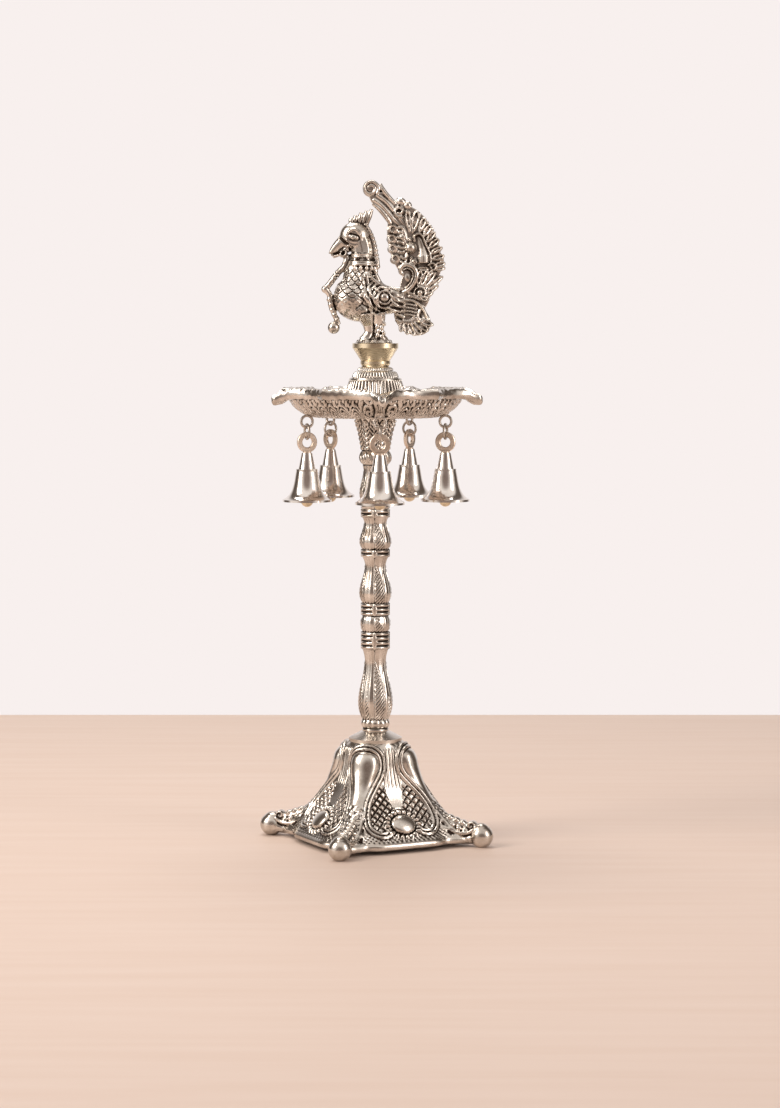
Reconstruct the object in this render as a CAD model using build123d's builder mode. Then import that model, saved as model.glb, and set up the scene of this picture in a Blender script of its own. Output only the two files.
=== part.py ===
from build123d import *
from math import atan2, cos, degrees, hypot, radians, sin, sqrt
import os

# Aarti lamp of cast white metal. A footed square base carries a baluster stem, a dish
# with five wick spouts, five hanging bells and a peacock, all strung on one threaded rod.
# Sizes are in millimetres. +Z is up, the origin is on the floor on the lamp's axis,
# the bird looks along -X and the wide face of the base is turned towards -Y.

# Rod and its fastening
rod_radius = 3.0
rod_clearance = 0.25
rod_grip = 8.0
rod_tail = 2.5
washer_radius = 9.0
washer_thickness = 1.5
nut_across_flats = 10.0
nut_height = 5.0

# Base casting
base_height = 54.0
base_turn = -18.0
base_wall = 2.4
base_top_wall = 4.0
rim_foot_height = 2.0
rim_height = 3.0
rim_face_radius = 40.0
rim_tip_radius = 54.0
rim_corner_radius = 5.0
shoulder_drop = 6.5
dome_drop = 10.5
shoulder_face_radius = 17.0
shoulder_tip_radius = 22.0
shoulder_corner_radius = 9.0
top_face_radius = 14.4
top_tip_radius = 15.2
flare_power = 1.9
section_power = 1.5
base_steps = 5
dome_steps = 3
corner_half_angle = 50.0
medallion_level = 13.5
medallion_radius = 6.2
medallion_rise = 2.7
bead_ring_radius = 8.4
bead_ring_thickness = 1.1

# Feet of the base
foot_count = 4
foot_place_radius = 59.0
foot_radius = 6.2
foot_flat_radius = 2.4
ankle_radius = 3.6
ankle_height = 4.6
ankle_start_radius = 51.9
leaf_steps = 4
leaf_start_height = 16.2
scroll_radius = 2.6
scroll_width = 6.0
scroll_place_radius = 53.5
scroll_height = 11.4

# Flange disc
flange_radius = 14.1
flange_rim = 1.8
flange_height = 5.5

# Stem, from the flange up. Every ring is a plain band, every vase has a belly and a neck.
ring_radius = 7.3
ring_groove_radius = 0.45
bead_radius = 7.8
bulb_radius = 7.8
belly_share = 0.28
neck_share = 0.78
vase_foot_radius = 7.0
collar_length = 1.5
bead_length = 5.0
long_vase_length = 37.0
long_vase_belly = 9.0
long_vase_neck = 5.8
lower_rings_length = 9.7
bulb_length = 8.3
middle_rings_length = 7.0
vase_length = 24.0
vase_belly = 8.3
vase_neck = 5.6
upper_rings_length = 4.5
short_vase_length = 16.5
short_vase_neck = 6.1
band_length = 4.7
seat_length = 3.3
top_vase_length = 20.0
top_vase_neck = 6.4
torus_length = 8.0
torus_radius = 8.3
capital_length = 17.5
capital_foot_radius = 6.6
capital_waist_radius = 8.0
capital_waist_share = 0.45
capital_top_radius = 11.0

# Dish
spout_count = 5
spout_turn = -86.5
dish_floor = 3.0
dish_depth = 15.0
dish_wall = 2.6
bowl_foot_radius = 32.0
bowl_bulge = 1.0
rim_thickness = 5.0
spout_tip_radius = 58.0
spout_nose_radius = 3.0
spout_nose_drop = 4.2
point_tip_radius = 51.5
scallop_radius = 47.0
scallop_angle = 20.0
bowl_rim_radius = 45.5
spout_round = 1.4
channel_radius = 2.3
channel_start_radius = 38.0

# Ribbed cone and cup on the dish
cone_height = 23.3
cone_skirt_radius = 20.0
cone_lower_radius = 13.0
cone_upper_radius = 9.6
cone_top_radius = 7.2
cone_hollow_radius = 15.8
cone_hollow_share = 0.41
cone_lower_share = 0.74
cone_upper_share = 0.9
cone_step = 0.8
cup_height = 12.2
cup_foot_radius = 7.0
cup_band_radius = 7.9
cup_rim_radius = 12.1
cup_rim_height = 2.4
cup_band_height = 2.8

# Bells and the rings they hang from
chain_gap = 0.3
hang_radius = 38.0
boss_radius = 4.2
boss_drop = 1.5
shank_radius = 0.9
shank_length = 2.0
eyelet_radius = 3.1
eyelet_wire = 0.7
link_radius = 3.8
link_wire = 0.65
eye_outer_radius = 5.4
eye_inner_radius = 2.7
eye_thickness = 1.9
eye_bevel = 0.4
eye_stem_radius = 0.9
eye_collar_radius = 2.2
eye_collar_height = 0.8
eye_collar_bare = 0.2
bell_height = 25.5
bell_wall = 1.1
bell_crown_radius = 2.8
bell_crown_wall = 2.4
bell_shoulder_radius = 4.5
bell_ridge_radius = 5.8
bell_ridge_drop = 8.4
bell_ridge_height = 1.2
bell_waist_radius = 6.9
bell_waist_lift = 10.0
bell_flare_radius = 8.8
bell_flare_lift = 4.6
bell_lip_radius = 12.9
bell_lip_height = 1.1
loop_radius = 1.55
loop_wire = 0.55
loop_drop = 8.2
ball_radius = 3.3
ball_lift = 0.4
ball_rod_radius = 0.7
hang_places = ("front", "right", "back_right", "back_left", "left")
hang_angles = (-86.5, -14.5, 61.0, 129.5, 199.5)
quarter_turned = "front"

# Peacock, given by its reach from the axis along X and height above the cup
bird_plate_radius = 9.6
bird_plate_height = 1.4
leg_radius = 5.4
leg_height = 14.0
breast_centre = (-9.0, 22.5)
breast_half = (12.8, 10.2)
rump_centre = (3.0, 21.5)
rump_half = (12.5, 7.6)
neck_stations = ((-9.8, 27.0, 9.2), (-8.0, 36.0, 7.8), (-7.0, 44.0, 6.9), (-9.5, 52.0, 6.3))
head_centre = (-11.6, 55.0)
head_half = (8.2, 6.4)
head_tilt = 25.0
beak_root = (-16.0, 52.6)
beak_tip = (-24.0, 46.9)
beak_radius = 3.4
beak_tip_radius = 0.7
crest_half = 1.6
crest_front_root = (-14.6, 57.0)
crest_front = (-14.4, 65.2)
crest_front_bulge = (-15.0, 61.5)
crest_top_bulge = (-8.6, 67.4)
crest_tip = (-1.0, 69.1)
crest_back_hollow = (-5.6, 63.0)
crest_back_root = (-7.1, 57.0)
strand_radius = 1.5
strand_bend = 3.0
strand_path = ((-15.5, 50.0), (-15.6, 41.0), (-25.2, 28.5), (-21.4, 17.5), (-20.2, 10.0))
strand_ball_centre = (-21.8, 8.6)
strand_ball_radius = 3.3

# Tail fan, in the same plane as the bird
tail_half = 2.6
fan_centre = (21.0, 49.0)
fan_half = (14.6, 26.5)
fan_tilt = 20.0
scroll_centre = (-2.2, 80.6)
scroll_disc_radius = 4.6
stalk_half = 3.6
stalk_root = (10.5, 70.0)
wing_centre = (19.5, 12.5)
wing_half = (12.0, 9.0)
wing_tilt = -35.0
bridge_centre = (18.0, 25.5)
bridge_half = (8.0, 11.0)
knob_place = (18.5, 50.0)
knob_radius = 4.2
drop_place = (25.3, 43.2)
drop_radius = 3.7
drop_tip = (22.0, 55.6)
drop_tip_radius = 2.0
rosette_place = (23.4, 26.6)
rosette_radius = 3.4
comma_start = (13.6, 38.6)
comma_bulge = (20.9, 38.2)
comma_tip = (17.2, 28.6)
comma_width = 3.6
comma_half = 3.3

# Places that follow from the sizes above
rod_bore = rod_radius + rod_clearance
rim_top = rim_foot_height + rim_height
shoulder_height = base_height - shoulder_drop
dome_start = base_height - dome_drop
medallion_sphere = (medallion_radius**2 + medallion_rise**2) / (2 * medallion_rise)
foot_height = sqrt(foot_radius**2 - foot_flat_radius**2)
stem_seat = base_height + flange_height
lower_stem_height = (
    collar_length + bead_length + long_vase_length + lower_rings_length + bulb_length
    + middle_rings_length + vase_length + upper_rings_length + short_vase_length + band_length
)
upper_seat = stem_seat + lower_stem_height
upper_stem_height = seat_length + top_vase_length + torus_length + capital_length
dish_seat = upper_seat + upper_stem_height
dish_top = dish_seat + dish_depth
rim_under = dish_top - rim_thickness
cone_seat = dish_seat + dish_floor
cup_seat = cone_seat + cone_height
bird_seat = cup_seat + cup_height
nut_top = base_height - base_top_wall - washer_thickness
rod_bottom = nut_top - nut_height - rod_tail
rod_top = bird_seat + rod_grip

# Heights down one bell, from the boss under the dish
eyelet_top = dish_seat + boss_drop
eyelet_centre = eyelet_top - eyelet_radius - eyelet_wire
eyelet_low = eyelet_centre - eyelet_radius
link_centre = eyelet_low + eyelet_wire + chain_gap + link_wire - link_radius
link_low = link_centre - link_radius
eye_centre = link_low + link_wire + chain_gap - eye_inner_radius
bell_top = eye_centre - eye_outer_radius - eye_collar_bare
bell_lip = bell_top - bell_height
loop_centre = bell_top - loop_drop
loop_low = loop_centre - loop_radius
clapper_loop_centre = loop_low + loop_wire + chain_gap + loop_wire - loop_radius
ball_centre = bell_lip + ball_lift

# Round pieces stand on the point that they are placed at
stand_on = (Align.CENTER, Align.CENTER, Align.MIN)


def write(part, name):
    part.label = name
    export_step(part, f"parts/{name}.step")


def on_arc(reach, angle, height=0.0):
    return (reach * cos(radians(angle)), reach * sin(radians(angle)), height)


def between(low, high, share):
    return low + (high - low) * share


# Outline of the base at one height: four round corners joined by arcs through the faces
def lobed_outline(tip_radius, face_radius, corner_radius):
    middle = tip_radius - corner_radius
    spread = corner_radius * sin(radians(corner_half_angle))
    start = middle + corner_radius * cos(radians(corner_half_angle))
    for quarter in range(4):
        turn = 90 * quarter
        before = Vector(start, -spread).rotate(Axis.Z, turn)
        peak = Vector(tip_radius, 0).rotate(Axis.Z, turn)
        after = Vector(start, spread).rotate(Axis.Z, turn)
        ThreePointArc(before, peak, after)
        face = Vector(face_radius, 0).rotate(Axis.Z, turn + 45)
        following = Vector(start, -spread).rotate(Axis.Z, turn + 90)
        ThreePointArc(after, face, following)


def base_section(height, inset):
    share = max(0, (shoulder_height - height) / (shoulder_height - rim_top))
    flare = share**flare_power
    dome = max(0, (height - dome_start) / dome_drop) ** 2
    corner = between(shoulder_tip_radius, rim_tip_radius, flare)
    corner -= (shoulder_tip_radius - top_tip_radius) * dome
    face = between(shoulder_face_radius, rim_face_radius, flare)
    face -= (shoulder_face_radius - top_face_radius) * dome
    radius = between(shoulder_corner_radius, rim_corner_radius, flare) - inset / 2
    return corner - inset, face - inset, radius


def base_plane(height):
    return Plane.XY.offset(height).rotated((0, 0, base_turn))


# A solid between the rim and a top height, following the flare and the dome of the base
def flared_solid(inset, top, mode):
    shares = [(step / base_steps) ** section_power for step in range(base_steps)]
    heights = [between(rim_top, dome_start, share) for share in shares]
    heights += [between(dome_start, top, step / dome_steps) for step in range(dome_steps + 1)]
    sections = []
    for height in heights:
        with BuildSketch(base_plane(height)) as section:
            with BuildLine():
                lobed_outline(*base_section(height, inset))
            make_face()
        sections.append(section.sketch)
    loft(sections, mode=mode)


# The plane that lies on the middle of a face at the level of the medallion
def medallion_plane(turn):
    reach = base_section(medallion_level, 0)[1]
    slope = reach - base_section(medallion_level + 1, 0)[1]
    outward = Vector(1, 0, slope).rotate(Axis.Z, turn)
    return Plane(on_arc(reach, turn, medallion_level), z_dir=outward)


# Middle of the wall on a corner, from the ankle up to the start of the leaf
leaf_heights = [between(ankle_height, leaf_start_height, step / leaf_steps) for step in range(leaf_steps + 1)]
wall_middle = [(base_section(height, base_wall / 2)[0], height) for height in leaf_heights]

with BuildPart() as base_hollow:
    flared_solid(base_wall, base_height - base_top_wall, Mode.ADD)
    with BuildSketch(base_plane(-foot_radius)):
        with BuildLine():
            lobed_outline(*base_section(rim_top, base_wall))
        make_face()
    extrude(amount=foot_radius + rim_top)

with BuildPart() as base:
    flared_solid(0, base_height, Mode.ADD)
    with BuildSketch(base_plane(rim_foot_height)):
        with BuildLine():
            lobed_outline(*base_section(rim_top, 0))
        make_face()
    extrude(amount=rim_height)
    for quarter in range(foot_count):
        with Locations(medallion_plane(base_turn + 90 * quarter + 45)):
            Torus(bead_ring_radius, bead_ring_thickness)
            with Locations((0, 0, medallion_rise - medallion_sphere)):
                Sphere(medallion_sphere)
    add(base_hollow.part, mode=Mode.SUBTRACT)
    for quarter in range(foot_count):
        upright = Plane.XZ.rotated((0, 0, base_turn + 90 * quarter))
        with BuildSketch(upright):
            with BuildLine():
                Polyline(
                    *wall_middle,
                    (scroll_place_radius, scroll_height + scroll_radius),
                    (scroll_place_radius, ankle_height),
                    close=True,
                )
            make_face()
            with Locations((scroll_place_radius, scroll_height)):
                Circle(scroll_radius)
        extrude(amount=scroll_width / 2, both=True)
    with PolarLocations(foot_place_radius, foot_count, start_angle=base_turn):
        with Locations((0, 0, foot_height)):
            Sphere(foot_radius)
        with Locations(((ankle_start_radius - foot_place_radius) / 2, 0, ankle_height)):
            Cylinder(ankle_radius, foot_place_radius - ankle_start_radius, rotation=(0, 90, 0))
    Cylinder(rod_bore, 2 * base_height, mode=Mode.SUBTRACT)
    split(bisect_by=Plane.XY, keep=Keep.TOP)

with BuildPart() as base_washer:
    with Locations((0, 0, nut_top)):
        Cylinder(washer_radius, washer_thickness, align=stand_on)
    Cylinder(rod_bore, 2 * base_height, mode=Mode.SUBTRACT)

with BuildPart() as base_nut:
    with BuildSketch(Plane.XY.offset(nut_top)):
        RegularPolygon(nut_across_flats / 2, 6, major_radius=False)
        Circle(rod_radius, mode=Mode.SUBTRACT)
    extrude(amount=-nut_height)

with BuildPart() as tie_rod:
    with Locations((0, 0, rod_bottom)):
        Cylinder(rod_radius, rod_top - rod_bottom, align=stand_on)

with BuildPart() as flange_disc:
    with BuildSketch(Plane.XZ):
        with BuildLine():
            Polyline(
                (rod_bore, base_height),
                (flange_radius, base_height),
                (flange_radius, base_height + flange_rim),
                (vase_foot_radius, stem_seat),
                (rod_bore, stem_seat),
                close=True,
            )
        make_face()
    revolve(axis=Axis.Z)


# Plain band with shallow grooves
def ring_band(height, length, radius, grooves):
    with Locations((0, 0, height)):
        Cylinder(radius, length, align=stand_on)
    for groove in range(grooves):
        with Locations((0, 0, height + length * (groove + 1) / (grooves + 1))):
            Torus(radius, ring_groove_radius, mode=Mode.SUBTRACT)


# Turned bead that swells from its ends to the middle
def bead(height, length, radius, end_radius):
    with BuildSketch(Plane.XZ) as outline:
        with BuildLine():
            low = (end_radius, height)
            high = (end_radius, height + length)
            ThreePointArc(low, (radius, height + length / 2), high)
            Polyline(high, (0, height + length), (0, height), low)
        make_face()
    revolve(outline.sketch, axis=Axis.Z)


# Turned vase with a belly low down and a neck near the top
def vase(height, length, belly, neck):
    with BuildSketch(Plane.XZ) as outline:
        with BuildLine():
            low = (vase_foot_radius, height)
            high = (vase_foot_radius, height + length)
            widest = (belly, height + length * belly_share)
            narrowest = (neck, height + length * neck_share)
            Spline(low, widest, narrowest, high)
            Polyline(high, (0, height + length), (0, height), low)
        make_face()
    revolve(outline.sketch, axis=Axis.Z)


with BuildPart() as lower_stem:
    level = stem_seat
    ring_band(level, collar_length, vase_foot_radius, 0)
    level += collar_length
    bead(level, bead_length, bead_radius, vase_foot_radius)
    level += bead_length
    vase(level, long_vase_length, long_vase_belly, long_vase_neck)
    level += long_vase_length
    ring_band(level, lower_rings_length, ring_radius, 3)
    level += lower_rings_length
    bead(level, bulb_length, bulb_radius, vase_foot_radius)
    level += bulb_length
    ring_band(level, middle_rings_length, ring_radius, 2)
    level += middle_rings_length
    vase(level, vase_length, vase_belly, vase_neck)
    level += vase_length
    ring_band(level, upper_rings_length, ring_radius, 1)
    level += upper_rings_length
    vase(level, short_vase_length, vase_belly, short_vase_neck)
    level += short_vase_length
    ring_band(level, band_length, ring_radius, 1)
    Cylinder(rod_bore, 4 * lower_stem_height, mode=Mode.SUBTRACT)

with BuildPart() as upper_stem:
    level = upper_seat
    ring_band(level, seat_length, ring_radius, 1)
    level += seat_length
    vase(level, top_vase_length, vase_belly, top_vase_neck)
    level += top_vase_length
    bead(level, torus_length, torus_radius, capital_foot_radius)
    level += torus_length
    with BuildSketch(Plane.XZ):
        with BuildLine():
            foot = (capital_foot_radius, level)
            waist = (capital_waist_radius, level + capital_waist_share * capital_length)
            top = (capital_top_radius, dish_seat)
            Spline(foot, waist, top)
            Polyline(top, (0, dish_seat), (0, level), foot)
        make_face()
    revolve(axis=Axis.Z)
    Cylinder(rod_bore, 3 * dish_seat, mode=Mode.SUBTRACT)


# Half of a bowl, outer or inner, as a sketch to turn round the axis
def bowl_side(foot_radius_here, low, rim_radius_here, high):
    with BuildSketch(Plane.XZ) as outline:
        with BuildLine():
            start = Vector(foot_radius_here, low)
            finish = Vector(rim_radius_here, high)
            across = finish - start
            side = Vector(across.Y, -across.X).normalized()
            Polyline((0, low), start)
            ThreePointArc(start, (start + finish) / 2 + side * bowl_bulge, finish)
            Polyline(finish, (0, high), (0, low))
        make_face()
    return outline.sketch


with BuildPart() as dish:
    revolve(bowl_side(bowl_foot_radius, dish_seat, bowl_rim_radius, rim_under), axis=Axis.Z)
    with BuildSketch(Plane.XY.offset(rim_under)) as star:
        with BuildLine():
            pitch = 360 / spout_count
            for spout in range(spout_count):
                here = spout_turn + pitch * spout
                tip = on_arc(spout_tip_radius, here)
                dip = on_arc(scallop_radius, here + scallop_angle)
                point = on_arc(point_tip_radius, here + pitch / 2)
                next_dip = on_arc(scallop_radius, here + pitch - scallop_angle)
                next_tip = on_arc(spout_tip_radius, here + pitch)
                ThreePointArc(tip, dip, point)
                ThreePointArc(point, next_dip, next_tip)
        make_face()
        fillet(star.vertices(), radius=spout_round)
    extrude(amount=rim_thickness)
    with PolarLocations(spout_tip_radius - spout_nose_radius, spout_count, start_angle=spout_turn):
        with Locations((0, 0, dish_top - spout_nose_drop)):
            Sphere(spout_nose_radius)
    with Locations([on_arc(hang_radius, angle, eyelet_top) for angle in hang_angles]):
        Cylinder(boss_radius, rim_under - eyelet_top, align=stand_on)
    inner_foot = bowl_foot_radius - dish_wall
    inner_rim = bowl_rim_radius - dish_wall
    revolve(bowl_side(inner_foot, cone_seat, inner_rim, dish_top), axis=Axis.Z, mode=Mode.SUBTRACT)
    with PolarLocations(channel_start_radius, spout_count, start_angle=spout_turn):
        with Locations((0, 0, dish_top)):
            Cylinder(
                channel_radius,
                spout_tip_radius,
                rotation=(0, 90, 0),
                align=stand_on,
                mode=Mode.SUBTRACT,
            )
    with Locations([on_arc(hang_radius, angle, eyelet_top) for angle in hang_angles]):
        Cylinder(
            shank_radius,
            shank_length,
            align=stand_on,
            mode=Mode.SUBTRACT,
        )
    Cylinder(rod_bore, 3 * dish_seat, mode=Mode.SUBTRACT)

with BuildPart() as ribbed_cone:
    with BuildSketch(Plane.XZ):
        with BuildLine():
            hollow = cone_seat + cone_hollow_share * cone_height
            lower = cone_seat + cone_lower_share * cone_height
            upper = cone_seat + cone_upper_share * cone_height
            Spline(
                (cone_skirt_radius, cone_seat),
                (cone_hollow_radius, hollow),
                (cone_lower_radius, lower),
            )
            Polyline(
                (cone_lower_radius, lower),
                (cone_lower_radius - cone_step, lower),
                (cone_upper_radius, upper),
                (cone_upper_radius - cone_step, upper),
                (cone_top_radius, cup_seat),
                (rod_bore, cup_seat),
                (rod_bore, cone_seat),
                (cone_skirt_radius, cone_seat),
            )
        make_face()
    revolve(axis=Axis.Z)

with BuildPart() as finial_cup:
    with BuildSketch(Plane.XZ):
        with BuildLine():
            band = cup_seat + cup_band_height
            Polyline(
                (rod_bore, bird_seat),
                (rod_bore, cup_seat),
                (cup_foot_radius, cup_seat),
                (cup_band_radius, cup_seat + cup_band_height / 2),
                (cup_band_radius, band),
                (cup_band_radius - cone_step / 2, band),
                (cup_rim_radius, bird_seat - cup_rim_height),
                (cup_rim_radius, bird_seat),
                close=True,
            )
        make_face()
    revolve(axis=Axis.Z)


# Plane of the bird at a point given by reach along X and height above the cup
def bird_plane(point, tilt=0.0):
    direction = (cos(radians(tilt)), 0, sin(radians(tilt)))
    return Plane((point[0], 0, bird_seat + point[1]), x_dir=direction, z_dir=(0, -1, 0))


# Egg turned about its long axis
def egg(centre, half, tilt=0.0):
    plane = bird_plane(centre, tilt)
    with BuildSketch(plane) as outline:
        with BuildLine():
            EllipticalCenterArc((0, 0), half[0], half[1], arc_size=180)
            Line((-half[0], 0), (half[0], 0))
        make_face()
    revolve(outline.sketch, axis=Axis(plane.origin, plane.x_dir))


def bird_point(point):
    return Vector(point[0], 0, bird_seat + point[1])


with BuildPart() as peacock:
    with Locations((0, 0, bird_seat)):
        Cylinder(bird_plate_radius, bird_plate_height, align=stand_on)
        Cylinder(leg_radius, leg_height, align=stand_on)
    egg(breast_centre, breast_half)
    egg(rump_centre, rump_half)
    for reach, height, radius in neck_stations:
        with BuildSketch(Plane((reach, 0, bird_seat + height))):
            Circle(radius)
    loft()
    egg(head_centre, head_half, head_tilt)
    beak_line = bird_point(beak_tip) - bird_point(beak_root)
    with Locations(Plane(bird_point(beak_root), z_dir=beak_line)):
        Cone(beak_radius, beak_tip_radius, beak_line.length, align=stand_on)
    with BuildSketch(bird_plane((0, 0))):
        with BuildLine():
            ThreePointArc(crest_front_root, crest_front_bulge, crest_front)
            ThreePointArc(crest_front, crest_top_bulge, crest_tip)
            ThreePointArc(crest_tip, crest_back_hollow, crest_back_root)
            Line(crest_back_root, crest_front_root)
        make_face()
    extrude(amount=crest_half, both=True)
    with BuildLine() as strand:
        FilletPolyline(*[bird_point(point) for point in strand_path], radius=strand_bend)
    with BuildSketch(Plane(strand.line @ 0, z_dir=strand.line % 0)):
        Circle(strand_radius)
    sweep()
    with Locations(bird_point(strand_ball_centre)):
        Sphere(strand_ball_radius)
    with Locations((0, 0, bird_seat)):
        Cylinder(rod_radius, 2 * rod_grip, mode=Mode.SUBTRACT)


# Straight bar from one point to another in the plane of the bird
def bar(start, finish, half_width):
    along = finish[0] - start[0]
    up = finish[1] - start[1]
    with Locations(((start[0] + finish[0]) / 2, (start[1] + finish[1]) / 2)):
        Rectangle(hypot(along, up), 2 * half_width, rotation=degrees(atan2(up, along)))


with BuildPart() as tail_fan:
    with BuildSketch(bird_plane((0, 0))):
        with Locations(fan_centre):
            Ellipse(*fan_half, rotation=fan_tilt)
        with Locations(scroll_centre):
            Circle(scroll_disc_radius)
        with Locations(wing_centre):
            Ellipse(*wing_half, rotation=wing_tilt)
        with Locations(bridge_centre):
            Ellipse(*bridge_half)
        bar(scroll_centre, stalk_root, stalk_half)
    extrude(amount=tail_half, both=True)
    for place, radius in (
        (knob_place, knob_radius),
        (drop_place, drop_radius),
        (rosette_place, rosette_radius),
    ):
        with Locations(bird_point(place)):
            Sphere(radius)
    drop_line = bird_point(drop_tip) - bird_point(drop_place)
    with Locations(Plane(bird_point(drop_place), z_dir=drop_line)):
        Cone(drop_radius, drop_tip_radius, drop_line.length, align=stand_on)
    with BuildSketch(bird_plane((0, 0))):
        with BuildLine() as comma:
            ThreePointArc(comma_start, comma_bulge, comma_tip)
        SlotArc(comma.edge(), comma_width)
    extrude(amount=comma_half, both=True)
    add(peacock.part, mode=Mode.SUBTRACT)


# One hanging set is made on the lamp's axis, with X along the eyelet ring
with BuildPart() as eyelet:
    with Locations((0, 0, eyelet_centre)):
        Torus(eyelet_radius, eyelet_wire, rotation=(90, 0, 0))
    with Locations((0, 0, eyelet_top - eyelet_wire)):
        Cylinder(shank_radius, shank_length + eyelet_wire, align=stand_on)

with BuildPart() as link:
    with Locations((0, 0, link_centre)):
        Torus(link_radius, link_wire, rotation=(0, 90, 0))

with BuildPart() as bell_eye:
    ring_middle = (eye_outer_radius + eye_inner_radius) / 2
    with Locations((0, 0, eye_centre)):
        Cylinder(eye_outer_radius, eye_thickness, rotation=(90, 0, 0))
        Cylinder(eye_inner_radius, eye_thickness, rotation=(90, 0, 0), mode=Mode.SUBTRACT)
    chamfer(bell_eye.edges().filter_by(GeomType.CIRCLE), eye_bevel)
    with Locations((0, 0, bell_top)):
        Cylinder(eye_collar_radius, eye_collar_height, align=stand_on)
    with Locations((0, 0, loop_centre + loop_radius)):
        Cylinder(eye_stem_radius, eye_centre - ring_middle - loop_centre - loop_radius, align=stand_on)
    with Locations((0, 0, loop_centre)):
        Torus(loop_radius, loop_wire, rotation=(90, 0, 0))

with BuildPart() as bell:
    ridge_top = bell_top - bell_ridge_drop
    ridge_low = ridge_top - bell_ridge_height
    waist = bell_lip + bell_waist_lift
    flare = bell_lip + bell_flare_lift
    lip = bell_lip + bell_lip_height
    with BuildSketch(Plane.XZ):
        with BuildLine():
            Polyline(
                (bell_crown_radius, bell_top),
                (bell_shoulder_radius, ridge_top),
                (bell_ridge_radius, ridge_top),
                (bell_ridge_radius, ridge_low),
            )
            Spline(
                (bell_ridge_radius, ridge_low),
                (bell_waist_radius, waist),
                (bell_flare_radius, flare),
                (bell_lip_radius, lip),
            )
            Polyline(
                (bell_lip_radius, lip),
                (bell_lip_radius, bell_lip),
                (bell_lip_radius - bell_wall, bell_lip),
            )
            Spline(
                (bell_lip_radius - bell_wall, bell_lip),
                (bell_flare_radius - bell_wall, flare - bell_wall),
                (bell_waist_radius - bell_wall, waist),
                (bell_ridge_radius - bell_wall, ridge_low),
            )
            Polyline(
                (bell_ridge_radius - bell_wall, ridge_low),
                (eye_stem_radius, bell_top - bell_crown_wall),
                (eye_stem_radius, bell_top),
                (bell_crown_radius, bell_top),
            )
        make_face()
    revolve(axis=Axis.Z)

with BuildPart() as clapper:
    with Locations((0, 0, clapper_loop_centre)):
        Torus(loop_radius, loop_wire, rotation=(0, 90, 0))
    with Locations((0, 0, ball_centre)):
        Sphere(ball_radius)
        Cylinder(ball_rod_radius, clapper_loop_centre - loop_radius - ball_centre, align=stand_on)


# Where one hanging set goes under the dish
def hang_location(place):
    angle = hang_angles[hang_places.index(place)]
    if place == quarter_turned:
        face = angle + 90
    else:
        face = angle
    return Location(on_arc(hang_radius, angle), (0, 0, face))


os.makedirs("parts", exist_ok=True)
for piece, name in (
    (base, "base"),
    (base_washer, "base_washer"),
    (base_nut, "base_nut"),
    (tie_rod, "tie_rod"),
    (flange_disc, "flange_disc"),
    (lower_stem, "lower_stem"),
    (upper_stem, "upper_stem"),
    (dish, "dish"),
    (ribbed_cone, "ribbed_cone"),
    (finial_cup, "finial_cup"),
    (peacock, "peacock"),
    (tail_fan, "tail_fan"),
):
    write(piece.part, name)
for place in hang_places:
    here = hang_location(place)
    write(eyelet.part.moved(here), f"eyelet_{place}")
    write(link.part.moved(here), f"link_{place}")
    write(bell_eye.part.moved(here), f"bell_eye_{place}")
    write(bell.part.moved(here), f"bell_{place}")
    write(clapper.part.moved(here), f"clapper_{place}")
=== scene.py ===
from math import cos, hypot, pi, radians, sin, sqrt

import bpy
import numpy as np
from mathutils import Matrix, Vector


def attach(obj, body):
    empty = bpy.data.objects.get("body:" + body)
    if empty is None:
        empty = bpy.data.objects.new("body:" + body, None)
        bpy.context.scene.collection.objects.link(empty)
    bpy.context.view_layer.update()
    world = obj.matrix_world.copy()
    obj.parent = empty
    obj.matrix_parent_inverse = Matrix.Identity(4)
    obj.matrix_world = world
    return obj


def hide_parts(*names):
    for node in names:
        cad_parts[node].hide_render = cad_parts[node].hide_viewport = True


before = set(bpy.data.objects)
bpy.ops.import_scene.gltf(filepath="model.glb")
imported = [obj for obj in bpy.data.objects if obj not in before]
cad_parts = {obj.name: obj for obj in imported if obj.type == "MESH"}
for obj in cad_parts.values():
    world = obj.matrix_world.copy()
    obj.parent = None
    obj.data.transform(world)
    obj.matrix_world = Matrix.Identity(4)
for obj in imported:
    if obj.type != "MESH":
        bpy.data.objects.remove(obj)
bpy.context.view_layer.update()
mm = 0.001
print("frame loaded:", len(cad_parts), "nodes")


# small helpers, used by every piece

def hexColor(code):
    parts = [int(code[i:i + 2], 16) / 255 for i in (1, 3, 5)]
    return tuple(c / 12.92 if c <= 0.04045 else ((c + 0.055) / 1.055) ** 2.4 for c in parts) + (1.0,)


def addNode(tree, kind, inputs=None, **settings):
    node = tree.nodes.new(kind)
    for key, value in settings.items():
        setattr(node, key, value)
    for key, value in (inputs or {}).items():
        if isinstance(value, bpy.types.NodeSocket):
            tree.links.new(value, node.inputs[key])
        else:
            node.inputs[key].default_value = value
    return node


def deselectAll():
    if bpy.context.object and bpy.context.object.mode != "OBJECT":
        bpy.ops.object.mode_set(mode="OBJECT")
    bpy.ops.object.select_all(action="DESELECT")


def pick(piece):
    deselectAll()
    bpy.context.view_layer.objects.active = piece
    piece.select_set(True)


def setMaterial(piece, material):
    piece.data.materials.clear()
    piece.data.materials.append(material)


# materials

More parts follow.
